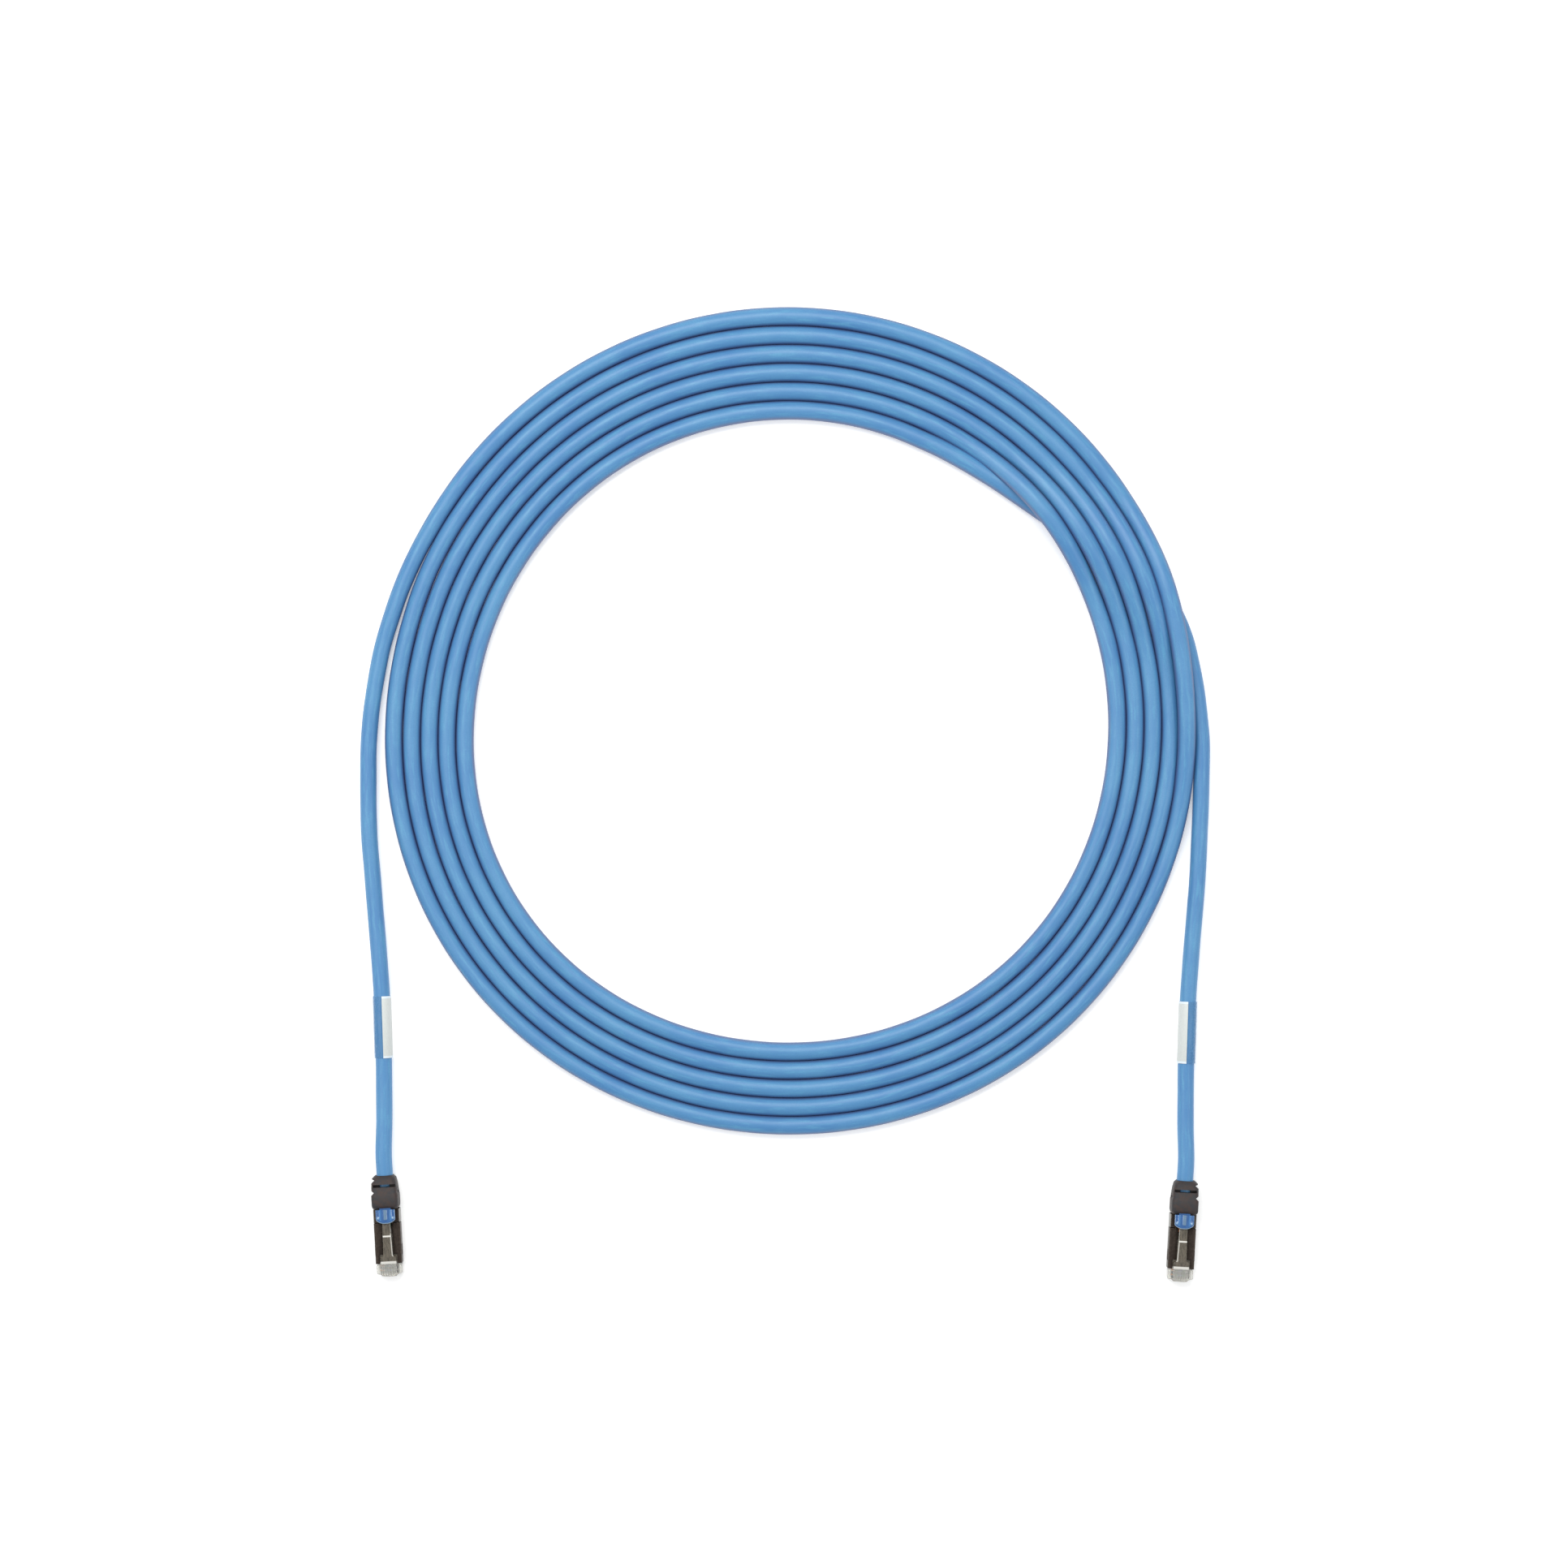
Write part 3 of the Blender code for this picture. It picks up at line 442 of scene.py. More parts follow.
def rubber_material():
    """Near-black moulded rubber, finely textured, with a brownish bloom here and there."""
    n = Nodes("boot_rubber")
    place = n.millimetres()
    bloom = n.noise(place, 0.42, 4.0, 0.6)
    texture = n.noise(place, 6.5, 3.0, 0.65)
    pits = n.add("ShaderNodeTexVoronoi", {"Vector": place, "Scale": 3.4}).outputs["Distance"]
    base = n.mix(n.ramp(bloom, 0.40, 0.62), (0.022, 0.021, 0.024), (0.044, 0.024, 0.019))
    base = n.mix(n.ramp(texture, 0.35, 0.75, 0.0, 0.55), base, (0.042, 0.040, 0.044))
    height = n.math("ADD", texture, n.ramp(pits, 0.0, 0.5, 0.0, 0.6))
    n.set(Base_Color=base, Roughness=n.ramp(texture, 0.3, 0.7, 0.5, 0.68),
          Specular_IOR_Level=0.4, Normal=n.bump(height, 0.00006, 0.6))
    return n.material


def plated_material(name, side_highlight_from=None):
    """Dark, browned plating on formed sheet. Beyond a distance from the middle it is painted pale,
    as a painted highlight on the sides of the collar."""
    n = Nodes(name)
    place = n.millimetres()
    mottle = n.noise(place, 0.9, 4.0, 0.65)
    brush = n.noise(n.stretched(place, (9.0, 0.7, 9.0)), 1.0, 3.0, 0.6)
    base = n.mix(n.ramp(mottle, 0.35, 0.68), (0.036, 0.027, 0.022), (0.064, 0.048, 0.039))
    base = n.mix(n.ramp(brush, 0.45, 0.75, 0.0, 0.5), base, (0.084, 0.070, 0.060))
    if side_highlight_from is not None:
        across = n.add("ShaderNodeSeparateXYZ", {"Vector": place}).outputs["X"]
        edge = n.ramp(n.math("ABSOLUTE", across), side_highlight_from - 0.1, side_highlight_from + 0.15)
        # painted highlight: pale metal beyond this distance, on the sides of the collar
        pale = n.mix(n.ramp(brush, 0.35, 0.7), (0.24, 0.24, 0.235), (0.36, 0.355, 0.34))
        base = n.mix(edge, base, pale)
    n.set(Base_Color=base, Metallic=0.85, Roughness=n.ramp(brush, 0.3, 0.75, 0.3, 0.5),
          Normal=n.bump(brush, 0.00003, 0.4))
    return n.material


def guard_material():
    """Glossy blue plastic, with painted highlights: pale along its front edge and on its pips,
    paler on its rails and its middle rib.
    """
    n = Nodes("guard_blue")
    place = n.millimetres()
    swirl = n.noise(n.stretched(place, (0.8, 0.3, 0.8)), 1.0, 3.0, 0.6)
    rubbing_and_sheen = n.noise(place, 2.2, 3.0, 0.7)
    rim = n.add("ShaderNodeAttribute", attribute_name="rim").outputs["Fac"]
    rib = n.add("ShaderNodeAttribute", attribute_name="rib").outputs["Fac"]
    rail = n.add("ShaderNodeAttribute", attribute_name="rail").outputs["Fac"]
    base = n.mix(n.ramp(swirl, 0.3, 0.7), (0.024, 0.092, 0.27), (0.036, 0.125, 0.33))
    # painted highlights: the rails paler blue, the rib greyish pale, the front edge and pips pale
    # cyan
    base = n.mix(n.math("MULTIPLY", rail, n.ramp(rubbing_and_sheen, 0.3, 0.7, 0.4, 0.9)), base,
                 (0.070, 0.24, 0.54))
    base = n.mix(n.math("MULTIPLY", rib, n.ramp(rubbing_and_sheen, 0.3, 0.6, 0.45, 0.85)), base,
                 (0.17, 0.27, 0.36))
    base = n.mix(n.math("MULTIPLY", rim, n.ramp(rubbing_and_sheen, 0.3, 0.6, 0.55, 0.95)), base,
                 (0.42, 0.64, 0.80))
    n.set(Base_Color=base, Roughness=n.ramp(rubbing_and_sheen, 0.3, 0.8, 0.1, 0.24), Coat_Weight=0.5,
          Coat_Roughness=0.06, Normal=n.bump(swirl, 0.0001, 0.3))
    return n.material


def metal_material(name, colour, scale, rough):
    """Bare or plated metal with fine drawing marks."""
    n = Nodes(name)
    marks = n.noise(n.stretched(n.millimetres(), (scale, scale * 0.1, scale)), 1.0, 3.0, 0.6)
    dark = tuple(0.72 * c for c in colour)
    n.set(Base_Color=n.mix(n.ramp(marks, 0.3, 0.7), dark, colour), Metallic=1.0,
          Roughness=n.ramp(marks, 0.3, 0.7, rough, rough + 0.15),
          Normal=n.bump(marks, 0.00002, 0.4))
    return n.material


def braid_material():
    """Tinned copper braid: two crossing sets of fine strands."""
    n = Nodes("braid_tinned")
    place = n.millimetres()
    strands = [
        n.add("ShaderNodeTexWave", {"Vector": place, "Scale": 1.6, "Distortion": 0.4},
              bands_direction="DIAGONAL").outputs["Fac"],
        n.add("ShaderNodeTexWave",
              {"Vector": n.stretched(place, (-1, 1, 1)), "Scale": 1.6, "Distortion": 0.4},
              bands_direction="DIAGONAL").outputs["Fac"],
    ]
    weave = n.math("MAXIMUM", *strands)
    n.set(Base_Color=n.mix(weave, (0.30, 0.29, 0.27), (0.72, 0.71, 0.68)), Metallic=1.0,
          Roughness=0.32, Normal=n.bump(weave, 0.0001, 0.7))
    return n.material


def plastic_material(name, colour, stripe=None):
    """Coloured insulation or a small moulding, with a stripe along it where it has one."""
    n = Nodes(name)
    place = n.millimetres()
    cloud = n.noise(place, 1.4, 3.0, 0.6)
    base = n.mix(n.ramp(cloud, 0.3, 0.7), tuple(0.84 * c for c in colour), colour)
    if stripe:
        band = n.add("ShaderNodeTexWave", {"Vector": place, "Scale": 0.16, "Distortion": 0.6},
                     bands_direction="Y").outputs["Fac"]
        base = n.mix(n.ramp(band, 0.55, 0.62), base, stripe)
    n.set(Base_Color=base, Roughness=n.ramp(cloud, 0.3, 0.7, 0.32, 0.46),
          Normal=n.bump(cloud, 0.00004, 0.3))
    return n.material


def panel_material():
    """White writing panel of the label: matt, faintly fibrous, its printed edges brighter."""
    n = Nodes("label_white")
    place = n.millimetres()
    fibre = n.noise(n.stretched(place, (3.0, 1.0, 3.0)), 1.0, 4.0, 0.65)
    along = n.add("ShaderNodeSeparateXYZ", {"Vector": place}).outputs["Y"]
    border = n.ramp(n.math("ABSOLUTE", along), LABEL_LENGTH / 2 - 1.1, LABEL_LENGTH / 2 - 0.8)
    base = n.mix(n.ramp(fibre, 0.3, 0.7), (0.57, 0.60, 0.59), (0.65, 0.68, 0.67))
    base = n.mix(border, base, (0.72, 0.80, 0.86))
    n.set(Base_Color=base, Roughness=n.ramp(fibre, 0.3, 0.7, 0.42, 0.6),
          Normal=n.bump(fibre, 0.00003, 0.3))
    return n.material


def film_material():
    """Clear film of the label, seen over the blue jacket."""
    n = Nodes("label_film")
    haze = n.noise(n.stretched(n.millimetres(), (1.2, 0.4, 1.2)), 1.0, 3.0, 0.6)
    n.set(Base_Color=n.mix(n.ramp(haze, 0.35, 0.7), (0.10, 0.29, 0.56), (0.15, 0.35, 0.60)),
          Alpha=n.ramp(haze, 0.3, 0.75, 0.3, 0.42), Roughness=n.ramp(haze, 0.3, 0.7, 0.3, 0.42),
          Normal=n.bump(haze, 0.00003, 0.2))
    return n.material


# ---------------------------------------------------------------- shapes of the plugs, in mm

SHARP_ANGLE = math.radians(38)
NOSE_HALF_WIDTH, NOSE_LENGTH = 5.65, 5.1
# Half of the nose's front edge in plan, from its side to its middle
NOSE_FRONT = [(5.65, 1.62), (5.5, 1.2), (5.1, 1.02), (4.2, 0.95), (3.85, 0.82), (3.45, 0.4),
              (3.1, 0.14), (2.6, 0.02), (1.3, -0.05), (0.0, -0.07)]
# Levels of the nose's rounding, as height and how far it is set in
NOSE_LEVELS = [(1.0, 0.2), (1.15, 0.05), (1.3, 0.0), (6.9, 0.0), (7.3, 0.1), (7.52, 0.3),
               (7.6, 0.55)]
TRUNK_HALF_WIDTH, TRUNK_BOTTOM, TRUNK_TOP, TRUNK_END = 5.2, 1.25, 7.35, 22.0
TRUNK_WALL = 0.75
TEETH_ALONG = (2.1, 3.95)
WAYS, CONTACT_PITCH = 8, 1.02
SLOT_WIDTH, SLOT_END, SLOT_TOP = 0.6, 4.45, 4.35
SHELL_HALF_WIDTH, SHELL_BOTTOM, SHELL_TOP, SHELL_WALL = 5.85, 0.6, 8.0, 0.35
SHELL_FRONT, SHELL_END, COLLAR_START, COLLAR_END = 5.8, 23.7, 24.0, 29.9
NOTCH_HALF_WIDTH, NOTCH_STEP = 2.3, 19.0
NOTCH_NARROW_HALF_WIDTH, NOTCH_END = 1.96, 27.2
NOTCH_WIDE_HALF_WIDTH, NOTCH_WIDE_END = 3.9, 9.9
# The latch at places along the plug: half width, underside, top
LATCH_SECTIONS = [
    (0.5, 3.2, 7.88, 8.05), (0.75, 3.4, 7.86, 8.28), (1.1, 3.4, 7.86, 8.38),
    (5.4, 3.4, 8.1, 8.78), (5.8, 3.4, 8.18, 9.1), (6.6, 3.4, 8.36, 9.62), (6.9, 3.4, 8.4, 9.72),
    (8.4, 3.4, 8.66, 9.9), (8.75, 3.2, 8.72, 9.92), (9.1, 2.45, 8.76, 9.94), (9.5, 2.1, 8.8, 9.98),
    (17.65, 1.86, 9.58, 10.66), (17.8, 1.8, 9.58, 10.98), (18.5, 1.8, 9.66, 11.04),
    (18.65, 1.84, 9.68, 10.6), (25.6, 1.7, 10.34, 11.33), (26.0, 1.55, 10.4, 11.36),
    (26.2, 1.3, 10.5, 11.3),
]
LATCH_LEDGE, LATCH_CROSS_BAR = (5.75, 6.95), (17.8, 18.55)   # where along the plug; the latch is painted pale there, as painted highlights
LATCH_EDGE, LATCH_EDGE_START = 1.6, 9.0            # corners further out and back than this: its edge towards the other plug, painted pale as a highlight
GUARD_PIVOT = (34.2, 11.15)
GUARD_HALF_WIDTH, GUARD_START, GUARD_END = 4.25, 24.05, 30.1
GUARD_BOTTOM, GUARD_EDGE, GUARD_CROWN = 12.0, 12.35, 13.0
GUARD_BOW = 1.7                    # how far its front edge stands back at the sides
GUARD_ARM = 2.5
GUARD_LEVER = [(28.4, 12.3), (28.4, 11.8), (30.2, 10.75)]
GUARD_BARREL = 0.95
PIP_X, PIP_Y = 3.3, 26.4           # a pip on each side, near the guard's front edge
RIB_START, RAIL_X, RAIL_START = 25.1, 2.35, 25.4
# The boot at places along the plug: half width, bottom, top, corner radius
BOOT_SECTIONS = [
    (30.2, 5.15, 0.35, 10.9, 1.7), (30.45, 5.4, 0.15, 11.8, 1.7), (30.9, 5.65, 0.03, 12.6, 1.7),
    (31.5, 5.85, 0, 13.05, 1.6), (32.2, 5.88, 0, 13.2, 1.6), (36.3, 5.88, 0, 13.2, 1.6),
    (37.2, 5.8, 0.2, 12.8, 1.8), (38.6, 5.82, 0.28, 12.3, 1.9), (41.2, 5.82, 0.42, 11.4, 2.1),
    (42.1, 5.75, 0.45, 11.0, 2.2), (43.2, 5.6, 0.55, 10.5, 2.4), (43.8, 5.55, 0.6, 10.2, 2.6),
    (44.2, 5.1, 0.65, 9.9, 2.8), (44.6, 4.7, 0.75, 9.6, 2.8), (44.8, 4.45, 0.9, 9.35, 2.7),
]
BOOT_BORE_FRONT, BOOT_BORE_REAR, BOOT_BORE_STEP = 4.4, 3.9, 36.2
# V notches down its sides: where each opens and closes, and where its point is
SIDE_NOTCHES = [(36.3, 38.8, 37.6, 4.6), (41.6, 43.7, 42.9, 4.3)]
INNER_NOTCH_BOTTOM = 5.4           # the notches on the inner side stop at this height,
INNER_NOTCH_LIFT = 0.75            # and are shallower by this much
INNER_TAPER, TAPER_START = 0.14, 36.3              # the inner side draws in towards the cable
CROSS_SLOT, SLOT_HALF_LENGTH, SLOT_HALF_WIDTH = 40.5, 0.6, 4.9
LABEL_CENTRE, LABEL_LEAN, LABEL_LENGTH = (178.3, 48.3, 4.15), math.radians(1.8), 27.4
LABEL_INNER, LABEL_OUTER = 3.85, 4.1
LABEL_SEAMS = (math.radians(-84), math.radians(87), math.radians(4))


def as_object(name, bm):
    """A new object in the scene from a bmesh, which is used up."""
    bmesh.ops.recalc_face_normals(bm, faces=bm.faces)
    mesh = bpy.data.meshes.new(name)
    bm.to_mesh(mesh)
    bm.free()
    obj = bpy.data.objects.new(name, mesh)
    scene.collection.objects.link(obj)
    return obj


def loft(rings, hole=None, bm=None):
    """Skin over rings of points, closed at both ends, or joined there to the rings of a hole."""
    bm = bm or bmesh.new()
    skins = [[[bm.verts.new(p) for p in ring] for ring in rows] for rows in (rings, hole or ())]
    for rows in skins:
        for a, b in zip(rows, rows[1:]):
            for i in range(len(a)):
                j = (i + 1) % len(a)
                bm.faces.new((a[i], a[j], b[j], b[i]))
    for k in (0, -1):
        if hole:
            outer, inner = skins[0][k], skins[1][k]
            for i in range(len(outer)):
                j = (i + 1) % len(outer)
                bm.faces.new((outer[i], outer[j], inner[j], inner[i]))
        else:
            bm.faces.new(skins[0][k])
    return bm


# Where an outline's two axes and the axis that it is extruded on point
PLANES = {
    "XY": lambda u, v, w: (u, v, w),
    "XZ": lambda u, v, w: (u, w, v),
    "YZ": lambda u, v, w: (w, u, v),
}


def prism(outline, plane, low, high, bm=None):
    """An outline drawn on one of the PLANES, extruded from low to high."""
    turned = PLANES[plane]
    return loft([[turned(u, v, w) for u, v in outline] for w in (low, high)], bm=bm)


def block(low, high):
    """A box between two opposite corners."""
    return prism([(low[0], low[1]), (high[0], low[1]), (high[0], high[1]), (low[0], high[1])],
                 "XY", low[2], high[2])


def arc(radius, start, end, steps, centre=(0.0, 0.0)):
    """Points on a circle's arc, from one angle to another, both ends included."""
    angles = [start + (end - start) * i / steps for i in range(steps + 1)]
    return [(centre[0] + radius * math.cos(a), centre[1] + radius * math.sin(a)) for a in angles]


def rounded(half, low, high, radius, steps=5):
    """Outline of a rectangle with rounded corners, centred across the plug."""
    points = []
    for quarter, (u, v) in enumerate(((1, 1), (-1, 1), (-1, -1), (1, -1))):
        corner = (u * (half - radius), (high if v > 0 else low) - v * radius)
        points += arc(radius, quarter * math.pi / 2, (quarter + 1) * math.pi / 2, steps, corner)
    return points


def rings_along(sections):
    """Rounded rectangles standing across the plug, one for each (along, half, low, high, r)."""
    return [[(x, y, z) for x, z in rounded(half, low, high, r)]
            for y, half, low, high, r in sections]


def carve(obj, cutters, operation="DIFFERENCE", edge=0.0, segments=2):
    """Cut these bmeshes away from obj, or add them to it, then round its edges off."""
    tools = [as_object("tool", bm) for bm in cutters]
    for tool in tools:
        mod = obj.modifiers.new("cut", "BOOLEAN")
        mod.operation, mod.object, mod.solver = operation, tool, "EXACT"
    if edge:
        mod = obj.modifiers.new("edges", "BEVEL")
        mod.width, mod.segments = edge, segments
        mod.limit_method, mod.angle_limit = "ANGLE", math.radians(32)
    bpy.context.view_layer.update()
    mesh = bpy.data.meshes.new_from_object(obj.evaluated_get(
        bpy.context.evaluated_depsgraph_get()))
    obj.modifiers.clear()
    obj.data = mesh
    for tool in tools:
        bpy.data.objects.remove(tool, do_unlink=True)


def settle(obj, end, material, nodes, body="cable", place=None):
    """Put a finished shape where it belongs and say what it stands for."""
    obj.data.transform(Matrix.Scale(MM, 4))
    obj.data.shade_smooth()
    obj.data.set_sharp_from_angle(angle=SHARP_ANGLE)
    obj.data.materials.clear()
    obj.data.materials.append(material)
    obj.matrix_world = (place or PLACE[end]) @ Matrix.Scale(1 / MM, 4)
    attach(obj, body)
    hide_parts(*nodes)
    return obj


def make_housing(end, looks):
    """Clear plug body with open contact slots, hollow behind the nose for the conductors."""
    front = [(-x, y) for x, y in NOSE_FRONT] + [(x, y) for x, y in reversed(NOSE_FRONT[:-1])]
    rings = []
    for z, inset in NOSE_LEVELS:
        scale = 1 - 0.5 * inset / NOSE_HALF_WIDTH
        ring = [(x * scale, y + inset, z) for x, y in front]
        rings.append([(-NOSE_HALF_WIDTH * scale, NOSE_LENGTH, z)] + ring
                     + [(NOSE_HALF_WIDTH * scale, NOSE_LENGTH, z)])
    body = as_object(end + "_plug_body", loft(rings))
    trunk = loft(rings_along([(y, TRUNK_HALF_WIDTH, TRUNK_BOTTOM, TRUNK_TOP, 0.5)
                              for y in (NOSE_LENGTH - 0.3, TRUNK_END)]))
    carve(body, [trunk], "UNION")
    hollow = TRUNK_HALF_WIDTH - TRUNK_WALL
    cutters = [block((-hollow, 2.0, 4.25), (hollow, 9.2, 5.6)),
               block((-hollow, 9.0, 2.2), (hollow, 23.0, 6.75))]
    for side in (-1, 1):
        cutters.append(block((side * 4.3 - 0.12, 0, 7.25), (side * 4.3 + 0.12, 5.6, 8.0)))
    for way in range(WAYS):
        x = (way - (WAYS - 1) / 2) * CONTACT_PITCH
        cutters.append(block((x - SLOT_WIDTH / 2, -0.5, 0.5), (x + SLOT_WIDTH / 2, SLOT_END,
                                                              SLOT_TOP)))
    carve(body, cutters, edge=0.05, segments=1)
    return settle(body, end, looks["nose"], [end + "_plug_housing"])


def make_latch(end, looks):
    """Locking tab with its shoulders, ledge and cross bar. The edge towards the other plug, behind
    the shoulders, is marked for a painted highlight."""
    sections = [(y, half, low, high, 0.14) for y, half, low, high in LATCH_SECTIONS]
    body = as_object(end + "_latch_finger", loft(rings_along(sections)))
    inner = -ENDS[end]
    rim = [float(v.co.y > LATCH_EDGE_START and inner * v.co.x > LATCH_EDGE)
           for v in body.data.vertices]
    body.data.attributes.new("rim", "FLOAT", "POINT").data.foreach_set("value", rim)
    return settle(body, end, looks["latch"], [end + "_latch"],
                  end + "_latch_tab")


def make_teeth(end, looks):
    """The points of the contacts, which stand up through the conductors, two on each."""
    bm = bmesh.new()
    for way in range(WAYS):
        x = (way - (WAYS - 1) / 2) * CONTACT_PITCH
        for y in TEETH_ALONG:
            rings = [[(x + u * w, y + v * 1.9 * w, z)
                      for u, v in ((-1, -1), (1, -1), (1, 1), (-1, 1))]
                     for w, z in ((0.3, 4.3), (0.3, 6.5), (0.2, 6.65))]
            loft(rings, bm=bm)
    body = as_object(end + "_contact_teeth", bm)
    return settle(body, end, looks["teeth"], [])


def sleeve(start, end):
    """The rings of a folded metal sleeve, outside and inside."""
    wall, half = SHELL_WALL, SHELL_HALF_WIDTH
    steps = [start, start + 0.2, end - 0.2, end]
    outer = rings_along([(y, half, SHELL_BOTTOM, SHELL_TOP, 0.75) for y in steps])
    inner = rings_along([(y, half - wall, SHELL_BOTTOM + wall, SHELL_TOP - wall, 0.45)
                         for y in steps])
    return loft(outer, inner)


def latch_notches():
    """What is open in the top of the shielding, under the latch. The first is the collar's too."""
    low, high = SHELL_TOP - 1.1, SHELL_TOP + 1
    return [block((-NOTCH_NARROW_HALF_WIDTH, NOTCH_STEP - 1, low),
                  (NOTCH_NARROW_HALF_WIDTH, NOTCH_END, high)),
            block((-NOTCH_HALF_WIDTH, SHELL_FRONT + 1, low), (NOTCH_HALF_WIDTH, NOTCH_STEP, high)),
            block((-NOTCH_WIDE_HALF_WIDTH, SHELL_FRONT - 1, low),
                  (NOTCH_WIDE_HALF_WIDTH, NOTCH_WIDE_END, high))]


def make_shielding(end, looks):
    """Shell and collar: folded sheet with a seam underneath and a sprung pad on each side."""
    shell = as_object(end + "_shell_folded", sleeve(SHELL_FRONT, SHELL_END))
    pads = []
    for side in (-1, 1):
        low, high = sorted((side * (SHELL_HALF_WIDTH - 0.1), side * (SHELL_HALF_WIDTH + 0.22)))
        outline = [(9.3, 3.0), (13.6, 3.2), (14.1, 3.7), (14.1, 5.1), (13.6, 5.6), (9.3, 5.8)]
        pads.append(prism(outline, "YZ", low, high))
    carve(shell, pads, "UNION")
    seam = block((-0.09, SHELL_FRONT - 1, 0.2), (0.09, SHELL_END + 1, 0.8))
    carve(shell, latch_notches() + [seam], edge=0.09)
    collar = as_object(end + "_collar_folded", sleeve(COLLAR_START, COLLAR_END))
    seam = block((-0.09, COLLAR_START - 1, 0.2), (0.09, COLLAR_END + 1, 0.8))
    carve(collar, latch_notches()[:1] + [seam], edge=0.09)
    return [settle(shell, end, looks["shell"], [end + "_shield_shell"]),
            settle(collar, end, looks["collar"], [end + "_shield_collar"])]


def guard_front(x):
    """Where the guard's bowed front edge is, at a distance from its middle."""
    share = max(0.0, (abs(x) - 1.0) / (GUARD_HALF_WIDTH - 1.0))
    return GUARD_START + GUARD_BOW * (0.75 * share ** 1.5 + 0.25 * share ** 8)


def pip_distance(x, y):
    """How far a place on the guard is from the middle of the nearer pip."""
    return math.hypot(abs(x) - PIP_X, y - PIP_Y)


def guard_top(x, y):
    """Height of the guard's top: crowned, with a rib, two rails and two pips."""
    height = GUARD_EDGE + (GUARD_CROWN - GUARD_EDGE) * math.sqrt(
        max(0.0, 1 - (x / GUARD_HALF_WIDTH) ** 2))
    height -= 0.3 * ease((y - guard_front(x)) / 0.45)
    if y > RIB_START:
        height += 0.24 * ease(max(0.0, abs(x) - 0.45) / 0.5) * (1 - ease((y - RIB_START) / 0.9))
    if y > RAIL_START:
        height += 0.18 * ease((abs(x) - RAIL_X) / 0.75) * (1 - ease(y - RAIL_START))
    height += 0.3 * ease(pip_distance(x, y) / 0.75)
    return height


def make_guard(end, looks):
    """Hood over the latch's free end, and the arm that goes back to its barrel in the boot. Its
    front edge, pips, rib and rails are marked for painted highlights."""
    across, along = 56, 40
    bm = bmesh.new()
    rows, rim, rib, rail = [], [], [], []
    for top in (True, False):
        grid = []
        for i in range(across + 1):
            x = GUARD_HALF_WIDTH * math.sin(math.pi / 2 * (2 * i / across - 1))
            front = guard_front(x)
            line = []
            for j in range(along + 1):
                y = front + (GUARD_END - front) * (j / along) ** 1.4
                line.append(bm.verts.new((x, y, guard_top(x, y) if top else GUARD_BOTTOM)))
                near = min(y - front, 3 * (GUARD_HALF_WIDTH - abs(x)))
                pip = ease(pip_distance(x, y) / 0.85)
                rim.append(max(1 - min(near / 0.34, 1.0), 0.9 * pip) if top else 0.0)
                rib.append(ease(max(0.0, abs(x) - 0.5) / 0.3) * (y > 25.7) if top else 0.0)
                rail.append(ease((abs(x) - RAIL_X) / 0.8) * (y > 25.3) if top else 0.0)
            grid.append(line)
        rows.append(grid)
    for grid in rows:
        for a, b in zip(grid, grid[1:]):
            for j in range(along):
                bm.faces.new((a[j], a[j + 1], b[j + 1], b[j]))
    over, under = rows
    for i in range(across):
        for j in (0, along):
            bm.faces.new((over[i][j], over[i + 1][j], under[i + 1][j], under[i][j]))
    for j in range(along):
        for i in (0, across):
            bm.faces.new((over[i][j], over[i][j + 1], under[i][j + 1], under[i][j]))
    lever = GUARD_LEVER + arc(GUARD_BARREL, math.radians(-120), math.radians(100), 16,
                              GUARD_PIVOT)
    prism(lever, "YZ", -GUARD_ARM, GUARD_ARM, bm)
    body = as_object(end + "_guard_hood", bm)
    extra = len(body.data.vertices) - len(rim)
    for name, values in (("rim", rim), ("rib", rib), ("rail", rail)):
        attribute = body.data.attributes.new(name, "FLOAT", "POINT")
        attribute.data.foreach_set("value", values + [0.0] * extra)
    return settle(body, end, looks["guard"], [end + "_latch_guard"],
                  end + "_guard_lever")


def round_bar(radius, start, stop):
    """A cylinder on the cable's axis, to bore the boot with."""
    ring = arc(radius, 0, 2 * math.pi, 48, (0, CABLE_HEIGHT))[:-1]
    return prism(ring, "XZ", start, stop)


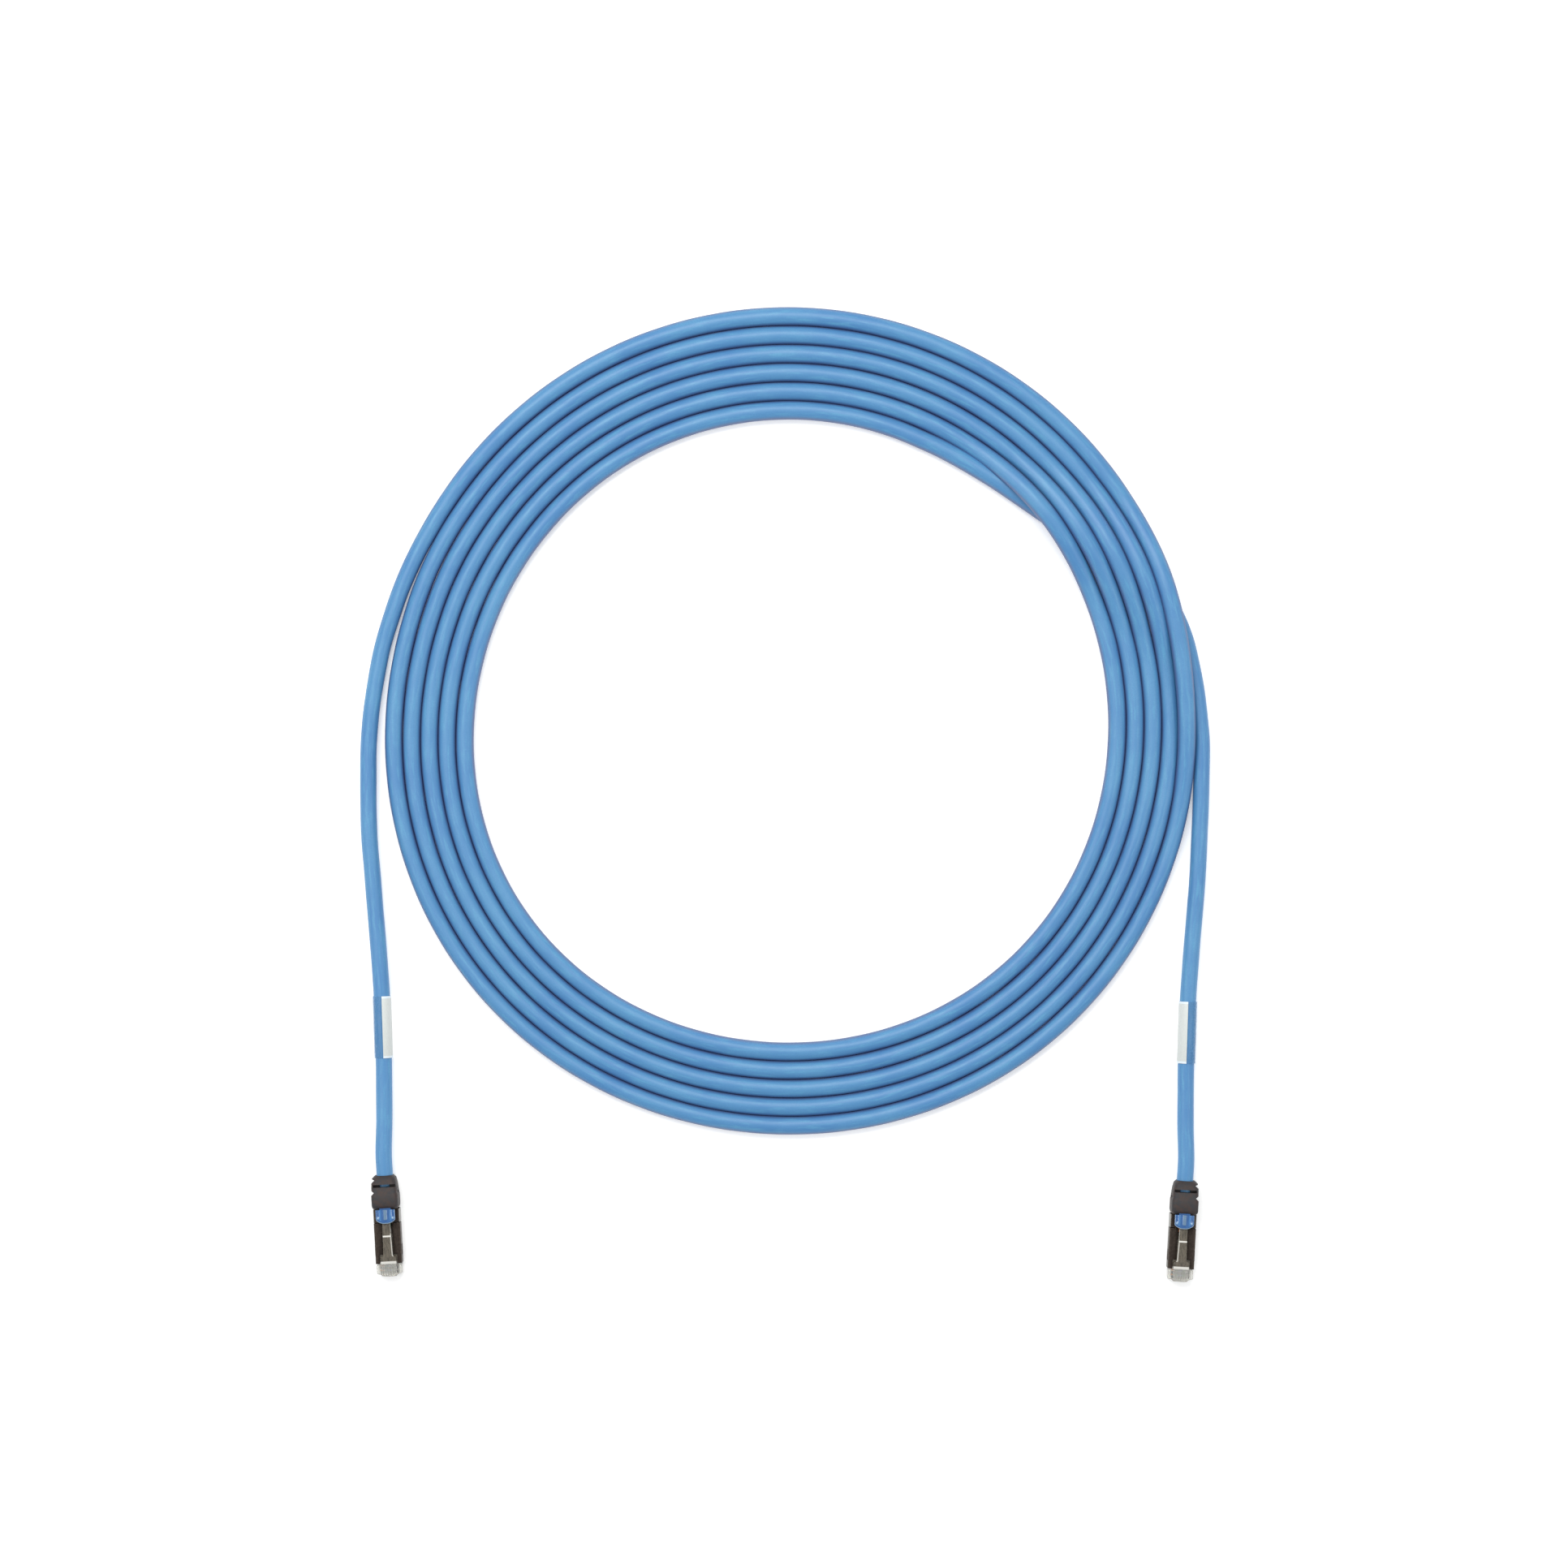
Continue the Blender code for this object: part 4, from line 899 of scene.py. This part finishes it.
def make_boot(end, looks):
    """Strain relief: bored for the cable, notched down both sides and slotted across."""
    body = as_object(end + "_boot_rubber", loft(rings_along(BOOT_SECTIONS)))
    for vertex in body.data.vertices:
        if vertex.co.x * ENDS[end] < 0 and vertex.co.y > TAPER_START:
            share = (vertex.co.y - TAPER_START) / (BOOT_END - TAPER_START)
            vertex.co.x *= 1 - INNER_TAPER * share
    reach = GUARD_BARREL + 0.3
    pocket = GUARD_ARM + 0.3
    cutters = [round_bar(BOOT_BORE_FRONT, BOOT_START - 1, BOOT_BORE_STEP),
               round_bar(BOOT_BORE_REAR, BOOT_BORE_STEP - 1, BOOT_END + 1),
               block((-pocket, BOOT_START - 1, 9.2),
                     (pocket, GUARD_PIVOT[0] + reach, GUARD_PIVOT[1] + reach))]
    for side in (-1, 1):
        inner = side == -ENDS[end]
        bottom = INNER_NOTCH_BOTTOM if inner else -1
        for start, stop, middle, depth in SIDE_NOTCHES:
            point = depth + INNER_NOTCH_LIFT if inner else depth
            outline = [(side * 6.2, start - 0.1), (side * point, middle - 0.12),
                       (side * point, middle + 0.12), (side * 6.2, stop + 0.1)]
            cutters.append(prism(outline, "XY", bottom, 15))
    start, stop = CROSS_SLOT - SLOT_HALF_LENGTH, CROSS_SLOT + SLOT_HALF_LENGTH
    for low, high in ((CABLE_HEIGHT + 3.2, 15), (-1, CABLE_HEIGHT - 3.2)):
        cutters.append(block((-SLOT_HALF_WIDTH, start, low), (SLOT_HALF_WIDTH, stop, high)))
    carve(body, cutters, edge=0.22, segments=3)
    return settle(body, end, looks["boot"], [end + "_boot"])


def make_label(end, looks):
    """White panel on the side towards the other tail, and the clear film round the rest."""
    side = ENDS[end]
    place = Matrix.Translation(Vector((side * LABEL_CENTRE[0], LABEL_CENTRE[1] - side * END_SHIFT,
                                       LABEL_CENTRE[2])) * MM)
    place = place @ Matrix.Rotation(-side * LABEL_LEAN, 4, "Z") @ Matrix.Scale(MM, 4)
    bottom, top, gap = LABEL_SEAMS
    made = []
    for name, start, stop in (("label_panel", bottom, top),
                              ("label_film", top + gap, bottom - gap + 2 * math.pi)):
        if side > 0:
            start, stop = math.pi - stop, math.pi - start
        outline = arc(LABEL_OUTER, start, stop, 40) + arc(LABEL_INNER, stop, start, 40)
        body = as_object(f"{end}_{name}_wrap", prism(outline, "XZ", -LABEL_LENGTH / 2,
                                                     LABEL_LENGTH / 2))
        carve(body, [], edge=0.06, segments=2)
        made.append(settle(body, end, looks[name], [f"{end}_{name}"], place=place))
    return made


def dress(node, material):
    """Give a CAD piece that stays its finished material."""
    for slot in frame["nodes"][node].material_slots:
        slot.material = material
    return frame["nodes"][node]


def make_looks():
    """The materials of the shapes made here, the same for both ends."""
    return {
        "nose": clear_material("nose_clear"),
        "latch": clear_material("latch_clear", (LATCH_LEDGE, LATCH_CROSS_BAR)),
        "shell": plated_material("shell_plated"),
        "collar": plated_material("collar_plated", 5.5),
        "guard": guard_material(),
        "boot": rubber_material(),
        "label_panel": panel_material(),
        "label_film": film_material(),
        "teeth": metal_material("contact_teeth", (0.05, 0.042, 0.035), 14.0, 0.4),
    }


WIRE_COLOURS = {
    "white_orange": ((0.80, 0.76, 0.70), (0.85, 0.28, 0.04)), "orange": ((0.85, 0.28, 0.04), None),
    "white_green": ((0.76, 0.80, 0.74), (0.03, 0.35, 0.10)), "blue": ((0.05, 0.16, 0.60), None),
    "white_blue": ((0.74, 0.77, 0.82), (0.05, 0.16, 0.60)), "green": ((0.03, 0.35, 0.10), None),
    "white_brown": ((0.78, 0.75, 0.71), (0.20, 0.09, 0.04)), "brown": ((0.20, 0.09, 0.04), None),
}


def make_ends():
    """Both plugs, boots and labels. Gives each end's pieces, but for its conductors."""
    looks = make_looks()
    gold = metal_material("contact_gold", (0.86, 0.62, 0.24), 14.0, 0.2)
    crimp = metal_material("crimp_steel", (0.62, 0.61, 0.59), 6.0, 0.25)
    braid = braid_material()
    guide = plastic_material("guide_plastic", (0.80, 0.80, 0.76))
    wires = [plastic_material("wire_" + name, *colours) for name, colours in WIRE_COLOURS.items()]
    made = {}
    for end in ENDS:
        pieces = [make_housing(end, looks), make_teeth(end, looks), make_latch(end, looks),
                  make_guard(end, looks), make_boot(end, looks)]
        pieces += make_shielding(end, looks) + make_label(end, looks)
        for way in range(1, WAYS + 1):
            pieces.append(dress(f"{end}_contact_{way}", gold))
            dress(f"{end}_wire_{way}", wires[way - 1])
        pieces.append(dress(end + "_wire_guide", guide))
        pieces.append(dress(end + "_braid", braid))
        pieces.append(dress(end + "_crimp_sleeve", crimp))
        made[end] = pieces
    return made


plugs = make_ends()


# ---------------------------------------------------------------- floor, light

def make_floor():
    """The light table that the cable lies on."""
    mesh = bpy.data.meshes.new("floor")
    half = 6.0
    mesh.from_pydata([(-half, -half, 0), (half, -half, 0), (half, half, 0), (-half, half, 0)], [],
                     [(0, 1, 2, 3)])
    floor = bpy.data.objects.new("floor", mesh)
    floor.location.z = -0.00005
    scene.collection.objects.link(floor)
    mesh.materials.append(floor_material())


def make_light(name, place, size, power, colour=(1.0, 1.0, 0.96)):
    """A soft box at a place in metres, turned to the middle of the coil."""
    data = bpy.data.lights.new(name, "AREA")
    data.shape = "RECTANGLE"
    data.size, data.size_y = size
    data.energy = power
    data.color = colour
    light = bpy.data.objects.new(name, data)
    light.location = place
    towards = Vector((0, COIL_Y * MM, 0)) - Vector(place)
    light.rotation_euler = towards.to_track_quat("-Z", "Y").to_euler()
    scene.collection.objects.link(light)


def make_studio():
    """A pale surrounding and three soft boxes, the strongest from the top of the picture."""
    scene.view_settings.view_transform = "Standard"
    world = bpy.data.worlds.new("studio")
    world.use_nodes = True
    background = world.node_tree.nodes["Background"]
    background.inputs["Color"].default_value = (0.95, 0.97, 1.0, 1.0)
    background.inputs["Strength"].default_value = 0.5
    scene.world = world
    make_light("top_box", (-0.3, 1.1, 1.9), (1.5, 0.8), 31.0)
    make_light("left_box", (-1.2, 0.0, 1.3), (0.4, 1.0), 5.5)
    make_light("right_box", (1.2, 0.0, 1.3), (0.4, 1.0), 5.5)


make_floor()
make_studio()
